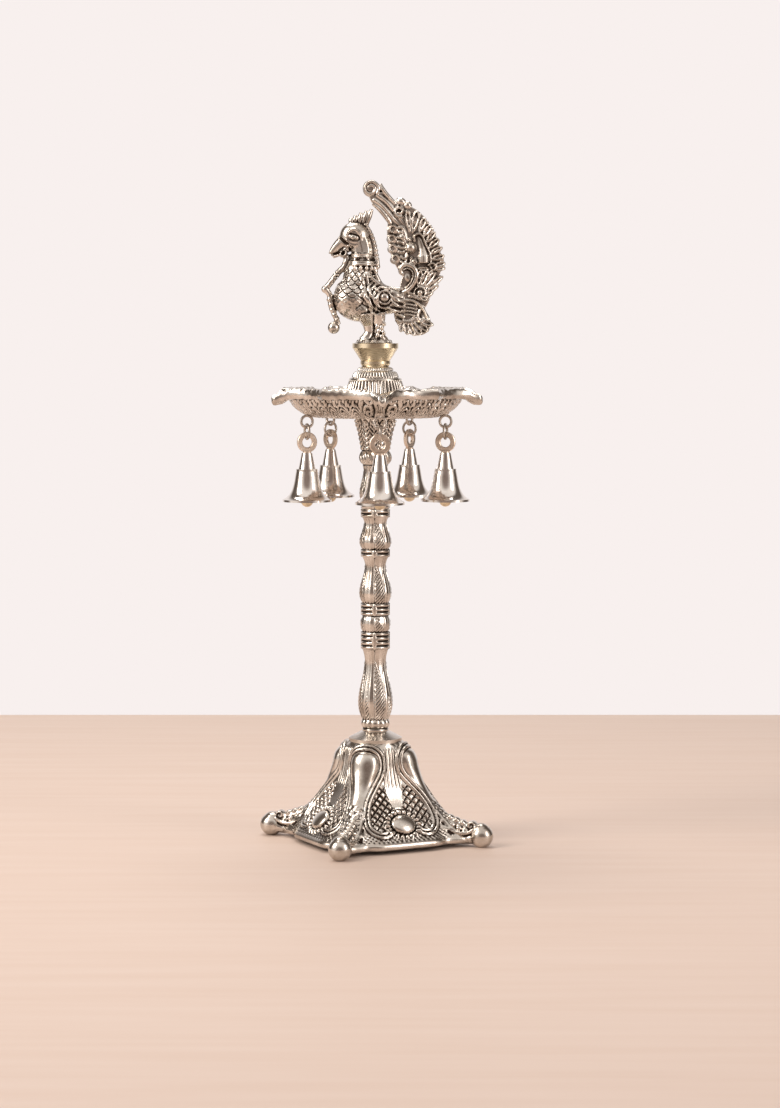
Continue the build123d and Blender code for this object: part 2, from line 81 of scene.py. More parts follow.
# the casting's grain and the rings of the turned pieces are drawn coarser than real, so that they show
silverLook = {
    "bright": "#e1dcd5", "mid": "#b5aca2", "patina": "#352b25", "roughBright": 0.2, "roughDark": 0.55,
    "cloudMm": 9.0, "wander": 0.55, "grainMm": 0.9, "grainBump": 0.05, "grainDeepMm": 0.3,
    "stainFrom": (0.06, 0.5), "dullFrom": (0.36, 0.68), "roughFrom": (0.0, 0.7),
}
turnedLook = {
    "cloudMm": 7.0, "ringBump": 0.04, "ringDeepMm": 0.2, "stainFrom": (0.4, 0.75), "ringFrom": (0.3, 0.7),
    "roughSpread": (0.8, 1.25),
}


def newMaterial(name):
    material = bpy.data.materials.new(name)
    material.use_nodes = True
    tree = material.node_tree
    tree.nodes.clear()
    out = addNode(tree, "ShaderNodeOutputMaterial")
    return material, tree, out


# silver plated cast brass, rubbed bright on top with brown oxide left in the hollows
def makeCastSilver(name, look):
    material, tree, out = newMaterial(name)
    place = addNode(tree, "ShaderNodeTexCoord").outputs["Object"]
    hollow = addNode(tree, "ShaderNodeAttribute", attribute_name="hollow").outputs["Fac"]
    cloud = addNode(tree, "ShaderNodeTexNoise", {
        "Vector": place, "Scale": 1 / (look["cloudMm"] * mm), "Detail": 4.0, "Roughness": 0.6})
    grain = addNode(tree, "ShaderNodeTexNoise", {
        "Vector": place, "Scale": 1 / (look["grainMm"] * mm), "Detail": 2.0})
    spread = addNode(tree, "ShaderNodeMath", {0: cloud.outputs["Fac"], 1: -0.5}, operation="ADD")
    wander = addNode(tree, "ShaderNodeMath", {
        0: spread.outputs[0], 1: look["wander"], 2: hollow}, operation="MULTIPLY_ADD")
    stain = addNode(tree, "ShaderNodeMapRange", {
        "Value": wander.outputs[0], "From Min": look["stainFrom"][0], "From Max": look["stainFrom"][1]},
        interpolation_type="SMOOTHSTEP")
    cast = addNode(tree, "ShaderNodeMapRange", {
        "Value": cloud.outputs["Fac"], "From Min": look["dullFrom"][0], "From Max": look["dullFrom"][1]})
    metal = addNode(tree, "ShaderNodeMix", {
        0: cast.outputs[0], 6: hexColor(look["bright"]), 7: hexColor(look["mid"])}, data_type="RGBA")
    colour = addNode(tree, "ShaderNodeMix", {
        0: stain.outputs[0], 6: metal.outputs[2], 7: hexColor(look["patina"])}, data_type="RGBA")
    rough = addNode(tree, "ShaderNodeMapRange", {
        "Value": wander.outputs[0], "From Min": look["roughFrom"][0], "From Max": look["roughFrom"][1],
        "To Min": look["roughBright"], "To Max": look["roughDark"]})
    bump = addNode(tree, "ShaderNodeBump", {
        "Height": grain.outputs["Fac"], "Strength": look["grainBump"],
        "Distance": look["grainDeepMm"] * mm})
    shader = addNode(tree, "ShaderNodeBsdfPrincipled", {
        "Base Color": colour.outputs[2], "Metallic": 1.0, "Roughness": rough.outputs[0],
        "Normal": bump.outputs[0]})
    tree.links.new(shader.outputs[0], out.inputs["Surface"])
    return material


# turned metal: fine rings round the upright axis and a little tarnish
def makeTurned(name, bright, dull, rough, ringMm, tarnish):
    look = turnedLook
    material, tree, out = newMaterial(name)
    place = addNode(tree, "ShaderNodeTexCoord").outputs["Object"]
    apart = addNode(tree, "ShaderNodeSeparateXYZ", {0: place})
    level = addNode(tree, "ShaderNodeMath", {
        0: apart.outputs["Z"], 1: 1 / (ringMm * mm)}, operation="MULTIPLY")
    line = addNode(tree, "ShaderNodeTexNoise", {"W": level.outputs[0], "Scale": 1.0, "Detail": 2.0},
                   noise_dimensions="1D")
    cloud = addNode(tree, "ShaderNodeTexNoise", {
        "Vector": place, "Scale": 1 / (look["cloudMm"] * mm), "Detail": 3.0})
    stain = addNode(tree, "ShaderNodeMapRange", {
        "Value": cloud.outputs["Fac"], "From Min": look["stainFrom"][0], "From Max": look["stainFrom"][1],
        "To Max": tarnish})
    colour = addNode(tree, "ShaderNodeMix", {
        0: stain.outputs[0], 6: hexColor(bright), 7: hexColor(dull)}, data_type="RGBA")
    shine = addNode(tree, "ShaderNodeMapRange", {
        "Value": line.outputs["Fac"], "From Min": look["ringFrom"][0], "From Max": look["ringFrom"][1],
        "To Min": rough * look["roughSpread"][0], "To Max": rough * look["roughSpread"][1]})
    bump = addNode(tree, "ShaderNodeBump", {
        "Height": line.outputs["Fac"], "Strength": look["ringBump"],
        "Distance": look["ringDeepMm"] * mm})
    shader = addNode(tree, "ShaderNodeBsdfPrincipled", {
        "Base Color": colour.outputs[2], "Metallic": 1.0, "Roughness": shine.outputs[0],
        "Normal": bump.outputs[0]})
    tree.links.new(shader.outputs[0], out.inputs["Surface"])
    return material


castSilver = makeCastSilver("castSilverAntiqued", silverLook)
turnedNickel = makeTurned("turnedNickelPolished", bright="#f0ebe6", dull="#c9beb3", rough=0.14,
                          ringMm=0.5, tarnish=0.6)
turnedBrass = makeTurned("turnedBrassDull", bright="#e8dabf", dull="#bcab8d", rough=0.3,
                         ringMm=0.6, tarnish=0.8)
ringBrass = makeTurned("stampedBrassDull", bright="#e6d8ca", dull="#c0ae9a", rough=0.36,
                       ringMm=0.8, tarnish=0.7)
drawnSteel = makeTurned("drawnSteelWire", bright="#c9c2ba", dull="#8b8178", rough=0.3,
                        ringMm=0.4, tarnish=0.6)
print("materials made")

# finishes of the CAD nodes, also of those that stay in sight as they are
for nodeName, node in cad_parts.items():
    if nodeName.startswith("bell_eye"):
        setMaterial(node, ringBrass)
    elif nodeName.startswith("bell"):
        setMaterial(node, turnedNickel)
    elif nodeName.startswith("clapper") or nodeName == "finial_cup":
        setMaterial(node, turnedBrass)
    elif nodeName.startswith(("eyelet", "link", "tie_rod", "base_nut", "base_washer")):
        setMaterial(node, drawnSteel)
    else:
        setMaterial(node, castSilver)

# meshes rolled from a flat grid, and the mask of their hollows

def wrapGrid(name, rows):
    # rows is an array of rings of points in mm; the flat grid is rolled up and sewn along its seam
    count, around = rows.shape[:2]
    deselectAll()
    bpy.ops.mesh.primitive_grid_add(x_subdivisions=around, y_subdivisions=count - 1, size=1)
    piece = bpy.context.object
    piece.name = piece.data.name = name
    rolled = np.concatenate([rows, rows[:, :1]], axis=1)
    piece.data.vertices.foreach_set("co", (rolled * mm).astype(np.float32).ravel())
    bpy.ops.object.mode_set(mode="EDIT")
    bpy.ops.mesh.select_all(action="SELECT")
    bpy.ops.mesh.remove_doubles(threshold=0.004 * mm)
    bpy.ops.mesh.normals_make_consistent(inside=False)
    bpy.ops.object.mode_set(mode="OBJECT")
    bpy.ops.object.shade_smooth_by_angle(angle=radians(50))
    return piece


def directions(angles):
    return np.stack([np.cos(angles), np.sin(angles)], axis=-1)


def ringRow(flat, reach, height):
    # one ring of points; reach and height may vary round it
    wide = np.broadcast_to(reach, len(flat))
    return np.column_stack([flat * wide[:, None], np.broadcast_to(height, len(flat))])


def readPoints(mesh, kind):
    values = np.empty(len(mesh.vertices) * 3)
    mesh.vertices.foreach_get(kind, values)
    return values.reshape(-1, 3)


def copyOf(mould, name, move):
    # a copy with a mesh of its own, moved in its mesh
    copy = mould.copy()
    copy.data = mould.data.copy()
    copy.name = copy.data.name = name
    bpy.context.scene.collection.objects.link(copy)
    copy.data.transform(move)
    return copy


def cutBelow(piece):
    # cuts off what lies under the piece's zero level and closes the cut
    pick(piece)
    bpy.ops.object.mode_set(mode="EDIT")
    bpy.ops.mesh.select_all(action="SELECT")
    bpy.ops.mesh.bisect(plane_co=(0, 0, 0), plane_no=(0, 0, 1), clear_inner=True, use_fill=True)
    bpy.ops.object.mode_set(mode="OBJECT")


def markHollows(piece, reachMm, fullMm):
    # how far each point lies below the smoothed surface, for the oxide in the material
    mesh = piece.data
    count = len(mesh.vertices)
    spots, normals = readPoints(mesh, "co") / mm, readPoints(mesh, "normal")
    ends = np.empty(len(mesh.edges) * 2, np.int32)
    mesh.edges.foreach_get("vertices", ends)
    one, two = ends[::2], ends[1::2]
    links = np.maximum(np.bincount(one, minlength=count) + np.bincount(two, minlength=count), 1)
    step = np.linalg.norm(spots[one] - spots[two], axis=1).mean()
    soft = spots.copy()
    for _ in range(max(3, int((reachMm / step) ** 2))):
        for axis in range(3):
            total = (np.bincount(one, soft[two, axis], count) + np.bincount(two, soft[one, axis], count))
            soft[:, axis] = 0.5 * soft[:, axis] + 0.5 * total / links
    depth = ((soft - spots) * normals).sum(axis=1) / fullMm
    layer = mesh.attributes.new("hollow", "FLOAT", "POINT")
    layer.data.foreach_set("value", np.clip(depth, 0, 1).astype(np.float32))


def handOver(piece, material, slot, *nodes):
    setMaterial(piece, material)
    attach(piece, "stand")
    if nodes:
        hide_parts(*nodes)
    print("made", piece.name, len(piece.data.polygons), "faces")


def smoothStep(low, high, value):
    share = np.clip((value - low) / (high - low), 0, 1)
    return share * share * (3 - 2 * share)


def between(levels, value):
    # 1 between two levels, with a fade over each of them
    foot, top = levels
    return smoothStep(*foot, value) * smoothStep(*top, value)


def roundTop(distance, half):
    return np.sqrt(np.maximum(1 - (distance / half) ** 2, 0))


def throughPoints(points, steps=12):
    # a smooth line through given points
    spots = np.array(points, float)
    full = np.vstack([2 * spots[0] - spots[1], spots, 2 * spots[-1] - spots[-2]])
    made = []
    for k in range(1, len(full) - 2):
        a, b, c, d = full[k - 1:k + 3]
        for t in np.linspace(0, 1, steps, endpoint=False):
            made.append(0.5 * (2 * b + (c - a) * t + (2 * a - 5 * b + 4 * c - d) * t ** 2
                               + (3 * b - a - 3 * c + d) * t ** 3))
    return np.array(made + [spots[-1]])


def nearest(spots, line):
    # distance from every spot to the line's points
    best = np.full(spots.shape[:-1], 1e9)
    for point in line:
        best = np.minimum(best, ((spots - point) ** 2).sum(axis=-1))
    return np.sqrt(best)


# base: a square bell with panels at its corners and a medallion on each face
baseLook = {
    "turn": -18.0, "columns": 70, "flareRows": 96, "flarePower": 1.9, "wall": 2.4, "boreRadius": 3.25,
    "rimTop": 5.0, "shoulder": 47.5, "domeStart": 43.5, "top": 54.0, "ceiling": 50.0,
    "tip": (22.0, 54.0), "face": (17.0, 40.0), "rounding": (9.0, 5.0), "topTip": 15.2, "topFace": 14.4,
    "topFlat": 13.0, "ceilingFlat": 12.0,
    # section of the rim, down its outside and up its inside: inset and height
    "rimRows": ((-0.35, 4.4), (-0.4, 3.4), (-0.1, 2.4), (0.5, 2.0), (1.9, 2.0), (2.4, 2.5)),
    # angle from the corner in degrees and height, from the arch at the top to the hook at the foot
    "panelLine": ((0, 52.6), (14, 51.9), (25, 49.5), (30, 45), (28, 39.5), (19, 33.5), (12, 27),
                  (10.5, 20), (13, 13.5), (18.5, 10.4), (24.5, 9.3), (29.5, 9.8)),
    "ridgeLine": ((9.5, 25), (7.6, 18), (6.8, 12), (5.5, 7.5)),
    "lineGap": 1.15, "lineHalf": 0.95, "lineHigh": 1.3,
    "medallionLevel": 13.5, "dome": (6.7, 5.7), "domeHigh": 2.3, "beadRing": (9.0, 7.6), "beads": 20,
    "beadHigh": 1.9, "latticeMm": 4.5, "padHigh": 1.0, "swell": 0.9, "ridgeHalf": 0.9, "ridgeHigh": 0.75,
    "uprights": (0.0, 6.5, 12.0), "scaleStep": 3.0, "scaleWide": 5.6, "scaleHigh": 1.6, "scaleRows": 8,
    "stippleMm": (2.6, 2.4), "stippleHigh": 0.3, "hollow": (2.2, 0.35),
    # plain patch at the top of each face: height, and half width in degrees
    "plainPatch": ((19, 0), (22, 6), (25, 10), (32, 13.5), (36, 18)),
    # dips of the rim beside and on every corner: depth, angle from the corner and half width in degrees
    "rimDips": ((3.2, 12, 7), (1.6, 0, 4)), "dipPower": 2.5,
    # heights over which each kind of relief fades in and out again
    "latticeLevels": ((8.2, 9.4), (34, 31)), "uprightLevels": ((30, 34), (52.5, 50)),
    "stripLevels": ((5.6, 6.4), (10.5, 9.0)), "reliefLevels": ((5.0, 6.2), (54.0, 53.3)),
    "swellLevels": (26, 40), "scaleTop": (25, 22), "scaleLow": 6.5, "scaleFoot": 8.0, "scaleTurn": 9.5,
    "sunkBeside": 0.35, "sunkMm": (1.6, 4.2), "sunkLow": 8, "padSunk": 0.5, "padEdge": (0.05, 0.22),
    "domeSeat": 0.5, "ringSunk": 0.3, "uprightHalf": 0.55, "uprightHigh": 0.4, "scaleSunk": 0.7,
}


def squareReach(fold, tip, face, rounding):
    # distance to a square outline with round corners; fold is the angle from the nearest corner
    half = radians(50)
    cornerX, cornerY = tip - rounding + rounding * cos(half), rounding * sin(half)
    centre = tip - rounding
    inside = np.maximum(rounding ** 2 - (centre * np.sin(fold)) ** 2, 0)
    nearCorner = centre * np.cos(fold) + np.sqrt(inside)
    middle, chord = (cornerX + cornerY) / sqrt(2), (cornerX - cornerY) / sqrt(2)
    sag = face - middle
    sag = np.where(np.abs(sag) < 0.01, 0.01, sag)
    radius = (chord ** 2 + sag ** 2) / (2 * sag)
    behind = face - radius
    off = pi / 4 - fold
    root = np.sqrt(np.maximum(radius ** 2 - (behind * np.sin(off)) ** 2, 0))
    nearFace = behind * np.cos(off) + np.sign(radius) * root
    return np.where(fold <= np.arctan2(cornerY, cornerX), nearCorner, nearFace)


def baseReach(fold, height):
    look = baseLook
    share = np.clip((look["shoulder"] - height) / (look["shoulder"] - look["rimTop"]), 0, 1)
    flare = share ** look["flarePower"]
    dome = np.clip((height - look["domeStart"]) / (look["top"] - look["domeStart"]), 0, 1) ** 2
    sizes = []
    for low, high, cap in ((look["tip"][0], look["tip"][1], look["topTip"]),
                           (look["face"][0], look["face"][1], look["topFace"])):
        sizes.append(low + (high - low) * flare - (low - cap) * dome)
    rounding = look["rounding"][0] + (look["rounding"][1] - look["rounding"][0]) * flare
    reach = squareReach(fold, sizes[0], sizes[1], rounding)
    # the rim dips in beside every foot
    turned = np.degrees(fold)
    dips = sum(deep * np.exp(-((turned - at) / wide) ** 2) for deep, at, wide in look["rimDips"])
    return reach - flare ** look["dipPower"] * dips


def baseSpot(fold, height):
    reach = baseReach(fold, height)
    return np.stack([reach * np.cos(fold), reach * np.sin(fold), height + 0 * reach], axis=-1)


def baseRelief(fold, height):
    look = baseLook
    turned = np.degrees(fold)
    spots = baseSpot(fold, height)
    panel = throughPoints(look["panelLine"])
    panelLine = baseSpot(np.radians(panel[:, 0]), panel[:, 1])
    fromPanel = nearest(spots, panelLine)
    ridge = throughPoints(look["ridgeLine"])
    fromRidge = nearest(spots, baseSpot(np.radians(ridge[:, 0]), ridge[:, 1]))
    # paths along the surface from the face's middle and from the rim
    across = baseReach(fold, height) * np.sin(pi / 4 - fold)
    middle = baseReach(np.full_like(height, pi / 4), height)
    rise = np.hypot(height - look["medallionLevel"],
                    middle - baseReach(np.array(pi / 4), np.array(look["medallionLevel"])))
    rise = rise * np.sign(height - look["medallionLevel"])
    lines = look["panelLine"][9::-1]
    edge = np.interp(height, [p[1] for p in lines], [p[0] for p in lines])
    inFace = smoothStep(1.5, 4.0, turned - edge)
    patch = np.interp(height, *zip(*look["plainPatch"]))
    offPatch = smoothStep(-1.0, 2.0, 45 - turned - patch)
    oval = np.hypot(across / look["dome"][0], rise / look["dome"][1])
    ringX, ringY = look["beadRing"]
    ringed = np.hypot(across / ringX, rise / ringY)
    offRing = smoothStep(1.18, 1.3, ringed)
    beside = 1 - smoothStep(*look["sunkMm"], fromPanel)
    relief = -look["sunkBeside"] * beside * (height > look["sunkLow"])
    # petal shaped panel on the corner swells a little
    swell = smoothStep(1.2, 6.0, fromPanel) * (turned < edge) * smoothStep(*look["swellLevels"], height)
    relief = relief + look["swell"] * swell
    relief = relief + look["lineHigh"] * roundTop(fromPanel - look["lineGap"], look["lineHalf"])
    relief = np.maximum(relief, look["ridgeHigh"] * roundTop(fromRidge, look["ridgeHalf"]))
    # lattice of small pads
    one = (across + rise) / look["latticeMm"]
    two = (across - rise) / look["latticeMm"]
    groove = np.minimum(np.abs(one - np.round(one)), np.abs(two - np.round(two)))
    mask = inFace * offPatch * offRing * between(look["latticeLevels"], height)
    mask = mask * smoothStep(1.9, 2.6, fromPanel)
    relief = relief + mask * (look["padHigh"] * smoothStep(*look["padEdge"], groove) - look["padSunk"])
    # medallion
    medallion = look["domeSeat"] + look["domeHigh"] * roundTop(oval, 1.0)
    relief = np.where(oval < 1, medallion, relief - look["ringSunk"] * (1 - offRing))
    spin = np.arctan2(rise / ringY, across / ringX)
    bead = np.abs(np.cos(look["beads"] / 2 * spin)) ** 0.6
    beads = look["beadHigh"] * bead - look["ringSunk"]
    relief = relief + beads * roundTop((ringed - 1) * 8.2, 1.5)
    relief = relief + 0.45 * roundTop((ringed - 1.21) * 7.6, 0.45) * (height < 16)
    # thin upright lines at the top of the face
    for lineAngle in look["uprights"]:
        off = np.abs(45 - turned - lineAngle) * np.radians(1) * middle
        upright = roundTop(off, look["uprightHalf"]) * between(look["uprightLevels"], height)
        relief = relief + look["uprightHigh"] * upright
    # overlapping scales down the corner
    side = baseReach(fold, height) * np.sin(fold)
    foot = baseReach(np.array(0.0), np.array(look["scaleFoot"]))
    corner = np.hypot(height - look["scaleFoot"], baseReach(np.zeros_like(height), height) - foot)
    scales = np.zeros_like(relief)
    step, wide = look["scaleStep"], look["scaleWide"]
    for row in range(look["scaleRows"]):
        along = corner - step * (row + 0.5)
        drop = 0.2 + 0.8 * smoothStep(step, -step, along)
        for shift in ((0.0, wide) if row % 2 else (wide / 2,)):
            scales = np.maximum(scales, drop * roundTop(np.hypot(side - shift, along), step))
    inScales = smoothStep(0.5, 1.4, fromRidge) * smoothStep(*look["scaleTop"], height)
    inScales = inScales * (turned < look["scaleTurn"]) * (height > look["scaleLow"])
    relief = relief + (look["scaleHigh"] * scales - look["scaleSunk"]) * inScales
    # stippled strip between the hooks and the rim
    strip = between(look["stripLevels"], height) * smoothStep(2.0, 2.8, fromPanel)
    dotWide, dotTall = look["stippleMm"]
    dots = np.cos(2 * pi * across / dotWide) * np.cos(2 * pi * rise / dotTall)
    relief = relief + look["stippleHigh"] * dots * strip * offRing * (turned > 9)
    return relief * between(look["reliefLevels"], height)


def makeBase():
    look = baseLook
    columns = look["columns"]
    eighth = np.linspace(0, pi / 4, columns + 1)
    folds = np.concatenate([eighth, eighth[-2:0:-1]])
    folds = np.tile(folds, 4)
    angles = radians(look["turn"]) + np.arange(len(folds)) * 2 * pi / len(folds)
    flat = directions(angles)
    rows = [ringRow(flat, look["boreRadius"], look["top"]), ringRow(flat, look["topFlat"], look["top"])]
    upright = list(np.linspace(look["top"], look["shoulder"], 19))
    upright += list(np.linspace(look["shoulder"], look["rimTop"], look["flareRows"] + 1)[1:])
    grid = np.meshgrid(eighth, np.array(upright))
    relief = baseRelief(grid[0], grid[1])
    reach = baseReach(grid[0], grid[1])
    # push along the slope's own normal, worked out down each column
    outward, upward = np.gradient(grid[1], axis=0), -np.gradient(reach, axis=0)
    size = np.hypot(outward, upward)
    pushOut, pushUp = relief * np.abs(outward) / size, relief * np.abs(upward) / size
    order = np.concatenate([np.arange(columns + 1), np.arange(columns - 1, 0, -1)])
    order = np.tile(order, 4)
    for k, height in enumerate(upright):
        rows.append(ringRow(flat, (reach[k] + pushOut[k])[order], height + pushUp[k][order]))
    rimReach = baseReach(folds, np.full(len(folds), look["rimTop"]))
    for inset, height in look["rimRows"]:
        rows.append(ringRow(flat, rimReach - inset, height))
    for height in np.linspace(look["rimTop"], look["shoulder"], 12):
        rows.append(ringRow(flat, baseReach(folds, np.full(len(folds), height)) - look["wall"], height))
    for radius in (look["ceilingFlat"], look["boreRadius"]):
        rows.append(ringRow(flat, radius, look["ceiling"]))
    rows.append(rows[0])
    piece = wrapGrid("footedBase", np.array(rows))
    markHollows(piece, *look["hollow"])
    handOver(piece, castSilver, "cast_silver", "base")


makeBase()

# stem: vases, bulbs and ring clusters with hatched leaves between plain facets
stemLook = {
    "around": 192, "stepMm": 0.42, "bore": 3.25, "footRadius": 7.0, "seatHeight": 59.5, "upperSeat": 177.7,
    "facetTurn": -94.0, "facetWidth": 45.0, "planes": (-9.5, 18.5, 6.5), "hatchMm": 2.1,
    "leafWide": 0.97, "leafTall": 0.86, "longVase": 30.0, "ringRadius": 7.35, "knotHalf": 1.7,
    "hollow": (1.5, 0.3), "leafHigh": 0.22, "leafEdge": (0.16, 0.45), "facetEdge": (0.25, 0.4),
    "barbSlant": 1.25, "barbHalf": 0.27, "barbDeep": 0.36, "grooveDeep": 0.7, "grooveHalf": 0.5,
    # short leaf of the long vase: share of its length, half width and shift in degrees
    "shortLeaf": (0.36, 15, 5),
    # leaves of the capital: turn in degrees, share of its height and relief; half width and vein in mm
    "capitalLeaves": ((0.0, 1.0, 1.0), (30.0, 0.86, 0.8)), "capitalHalf": 4.6, "capitalVein": 2.4,
    # kind, length, and the widest and narrowest radius or the number of rings
    "lower": (("band", 1.5, 7.0, 0), ("petals", 5.0, 7.6, 0), ("vase", 37.0, 9.0, 5.8),
              ("rings", 9.7, 4, 0), ("bulb", 8.3, 7.9, 0), ("rings", 7.0, 3, 0), ("vase", 24.0, 8.3, 5.6),
              ("rings", 4.5, 2, 0), ("vase", 16.5, 8.3, 6.1), ("rings", 4.7, 2, 0)),
    "upper": (("rings", 3.3, 1, 0), ("vase", 20.0, 8.3, 6.4), ("knot", 8.0, 8.4, 0),
              ("capital", 17.5, 11.0, 0)),
}


def leafFacets(share, turned, radius, length):
    # every second facet is plain and has two planes, the others carry a half leaf with slanting barbs
    look = stemLook
    wide = look["facetWidth"]
    around = turned - look["facetTurn"]
    facet = np.floor(around / wide)
    off = around - wide * (facet + 0.5)
    leaf = facet % 2 == 0
    perDegree = np.radians(1) * radius
    broad, narrow, ridge = look["planes"]
    out = np.cos(np.radians(broad + wide / 2))
    first = out / np.cos(np.radians(off - broad))
    second = out * np.cos(np.radians(narrow - ridge)) / np.cos(np.radians(ridge - broad))
    second = second / np.cos(np.radians(off - narrow))
    keel = np.radians(wide / 4)
    raised = np.cos(keel) / np.cos(np.radians(np.abs(off)) - keel)
    relief = radius * (np.where(leaf, raised, np.minimum(first, second)) - 1)
    fromEdge = (wide / 2 - np.abs(off)) * perDegree
    edgeDeep, edgeHalf = look["facetEdge"]
    relief = relief - edgeDeep * roundTop(fromEdge, edgeHalf)
    reach = wide * look["leafWide"] * np.clip(1 - (share / look["leafTall"]) ** 2.2, 0, 1) ** 0.7
    leafSide = np.minimum(off + wide / 2, reach - off - wide / 2) * perDegree
    # on the long vase a short leaf stands at the foot of each plain facet
    short, shortHalf, shortShift = look["shortLeaf"]
    short = short if length > look["longVase"] else 0.001
    shortSide = shortHalf * np.clip(1 - share / short, 0, 1) ** 0.7 - np.abs(off + shortShift)
    shortSide = shortSide * perDegree
    inside = np.where(leaf, leafSide, shortSide)
    slant = (share * length - look["barbSlant"] * off * perDegree) / look["hatchMm"]
    barb = roundTop((slant % 1) - 0.5, look["barbHalf"])
    lineDeep, lineHalf = look["leafEdge"]
    relief = relief + look["leafHigh"] * smoothStep(0.1, 0.5, inside)
    relief = relief - lineDeep * roundTop(inside, lineHalf)
    return relief - look["barbDeep"] * barb * smoothStep(0.3, 0.7, inside)


def stemRadius(part, share, turned):
    kind, length, wide, narrow = part
    look = stemLook
    foot = look["footRadius"]
    if kind == "band":
        return wide + 0 * turned + 0 * share
    if kind == "petals":
        return foot - 0.5 + (wide - foot) * 2.2 * np.sin(pi * share) ** 0.7 * (
            0.4 + 0.6 * np.abs(np.sin(np.radians(turned) * 5)) ** 0.6)
    if kind == "rings":
        # flat rings between dark grooves, with a small leaf across them on each facet's edge
        toGroove = (0.5 - np.abs(share * wide % 1 - 0.5)) * length / wide
        radius = look["ringRadius"] - look["grooveDeep"] * roundTop(toGroove, look["grooveHalf"])
        radius = radius + 0.2 * smoothStep(0.3, 1.1, toGroove)
        off = (turned - look["facetTurn"] + 45) % 90 - 45
        across = np.abs(off) * np.radians(1) * radius
        half = look["knotHalf"] * np.clip(1 - np.abs(2 * share - 1), 0.001, 1) ** 0.6
        return np.maximum(radius, look["ringRadius"] - 0.5 + 0.9 * roundTop(across, half))
    if kind == "bulb":
        radius = foot - 0.2 + (wide - foot + 0.2) * np.sin(pi * share) ** 0.6 + 0 * turned
        return radius + 0.8 * leafFacets(share, turned, radius, length)
    if kind == "vase":
        curve = np.polyfit([0, 0.3, 0.78, 1], [foot, wide, narrow, foot], 3)
        radius = np.polyval(curve, share) + 0 * turned
        return radius + leafFacets(share, turned, radius, length)
    if kind == "knot":
        radius = 6.5 + (wide - 6.5) * np.sin(pi * share) ** 0.7
        return radius + 0.4 * np.cos(np.radians(turned) * 14 + 5 * share) * np.sin(pi * share)
    # capital of six standing leaves with curled tips
    radius = np.polyval(np.polyfit([0, 0.45, 1], [6.6, 8.0, wide - 1.0], 2), share) + 0 * turned
    relief = 0 * radius
    for turn, tall, strength in look["capitalLeaves"]:
        off = ((turned - look["facetTurn"] + turn + 30) % 60 - 30) * np.radians(1) * radius
        rise = share / tall
        half = look["capitalHalf"] * np.clip(rise + 0.12, 0, 2) ** 0.4 * np.clip(1.04 - rise, 0, 2) ** 0.4
        body = smoothStep(0, 0.7, half - np.abs(off))
        veins = 0.3 * np.sin(2 * pi * (share * length - 1.3 * np.abs(off)) / look["capitalVein"])
        leaf = body * (0.7 + veins + 0.6 * smoothStep(0.6, 0.95, rise)) + 0.5 * roundTop(off, 0.6) * body
        relief = np.maximum(relief, leaf * strength)
    return radius + 1.1 * relief * smoothStep(1.0, 0.93, share)


def makeStem(name, parts, seat, node):
    look = stemLook
    turned = np.linspace(-180, 180, look["around"], endpoint=False)
    flat = directions(np.radians(turned))
    rows, level = [], seat
    for part in parts:
        steps = max(3, int(part[1] / look["stepMm"]))
        for share in np.linspace(0, 1, steps + 1)[:-1]:
            radius = stemRadius(part, np.full_like(turned, share), turned)
            rows.append(ringRow(flat, radius, level + share * part[1]))
        level += part[1]
    topRow = rows[-1].copy()
    topRow[:, 2] = level
    rows += [topRow, ringRow(flat, look["bore"], level), ringRow(flat, look["bore"], seat), rows[0]]
    piece = wrapGrid(name, np.array(rows))
    markHollows(piece, *look["hollow"])
    handOver(piece, castSilver, "cast_silver", node)


makeStem("balusterStem", stemLook["lower"], stemLook["seatHeight"], "lower_stem")
makeStem("capitalStem", stemLook["upper"], stemLook["upperSeat"], "upper_stem")


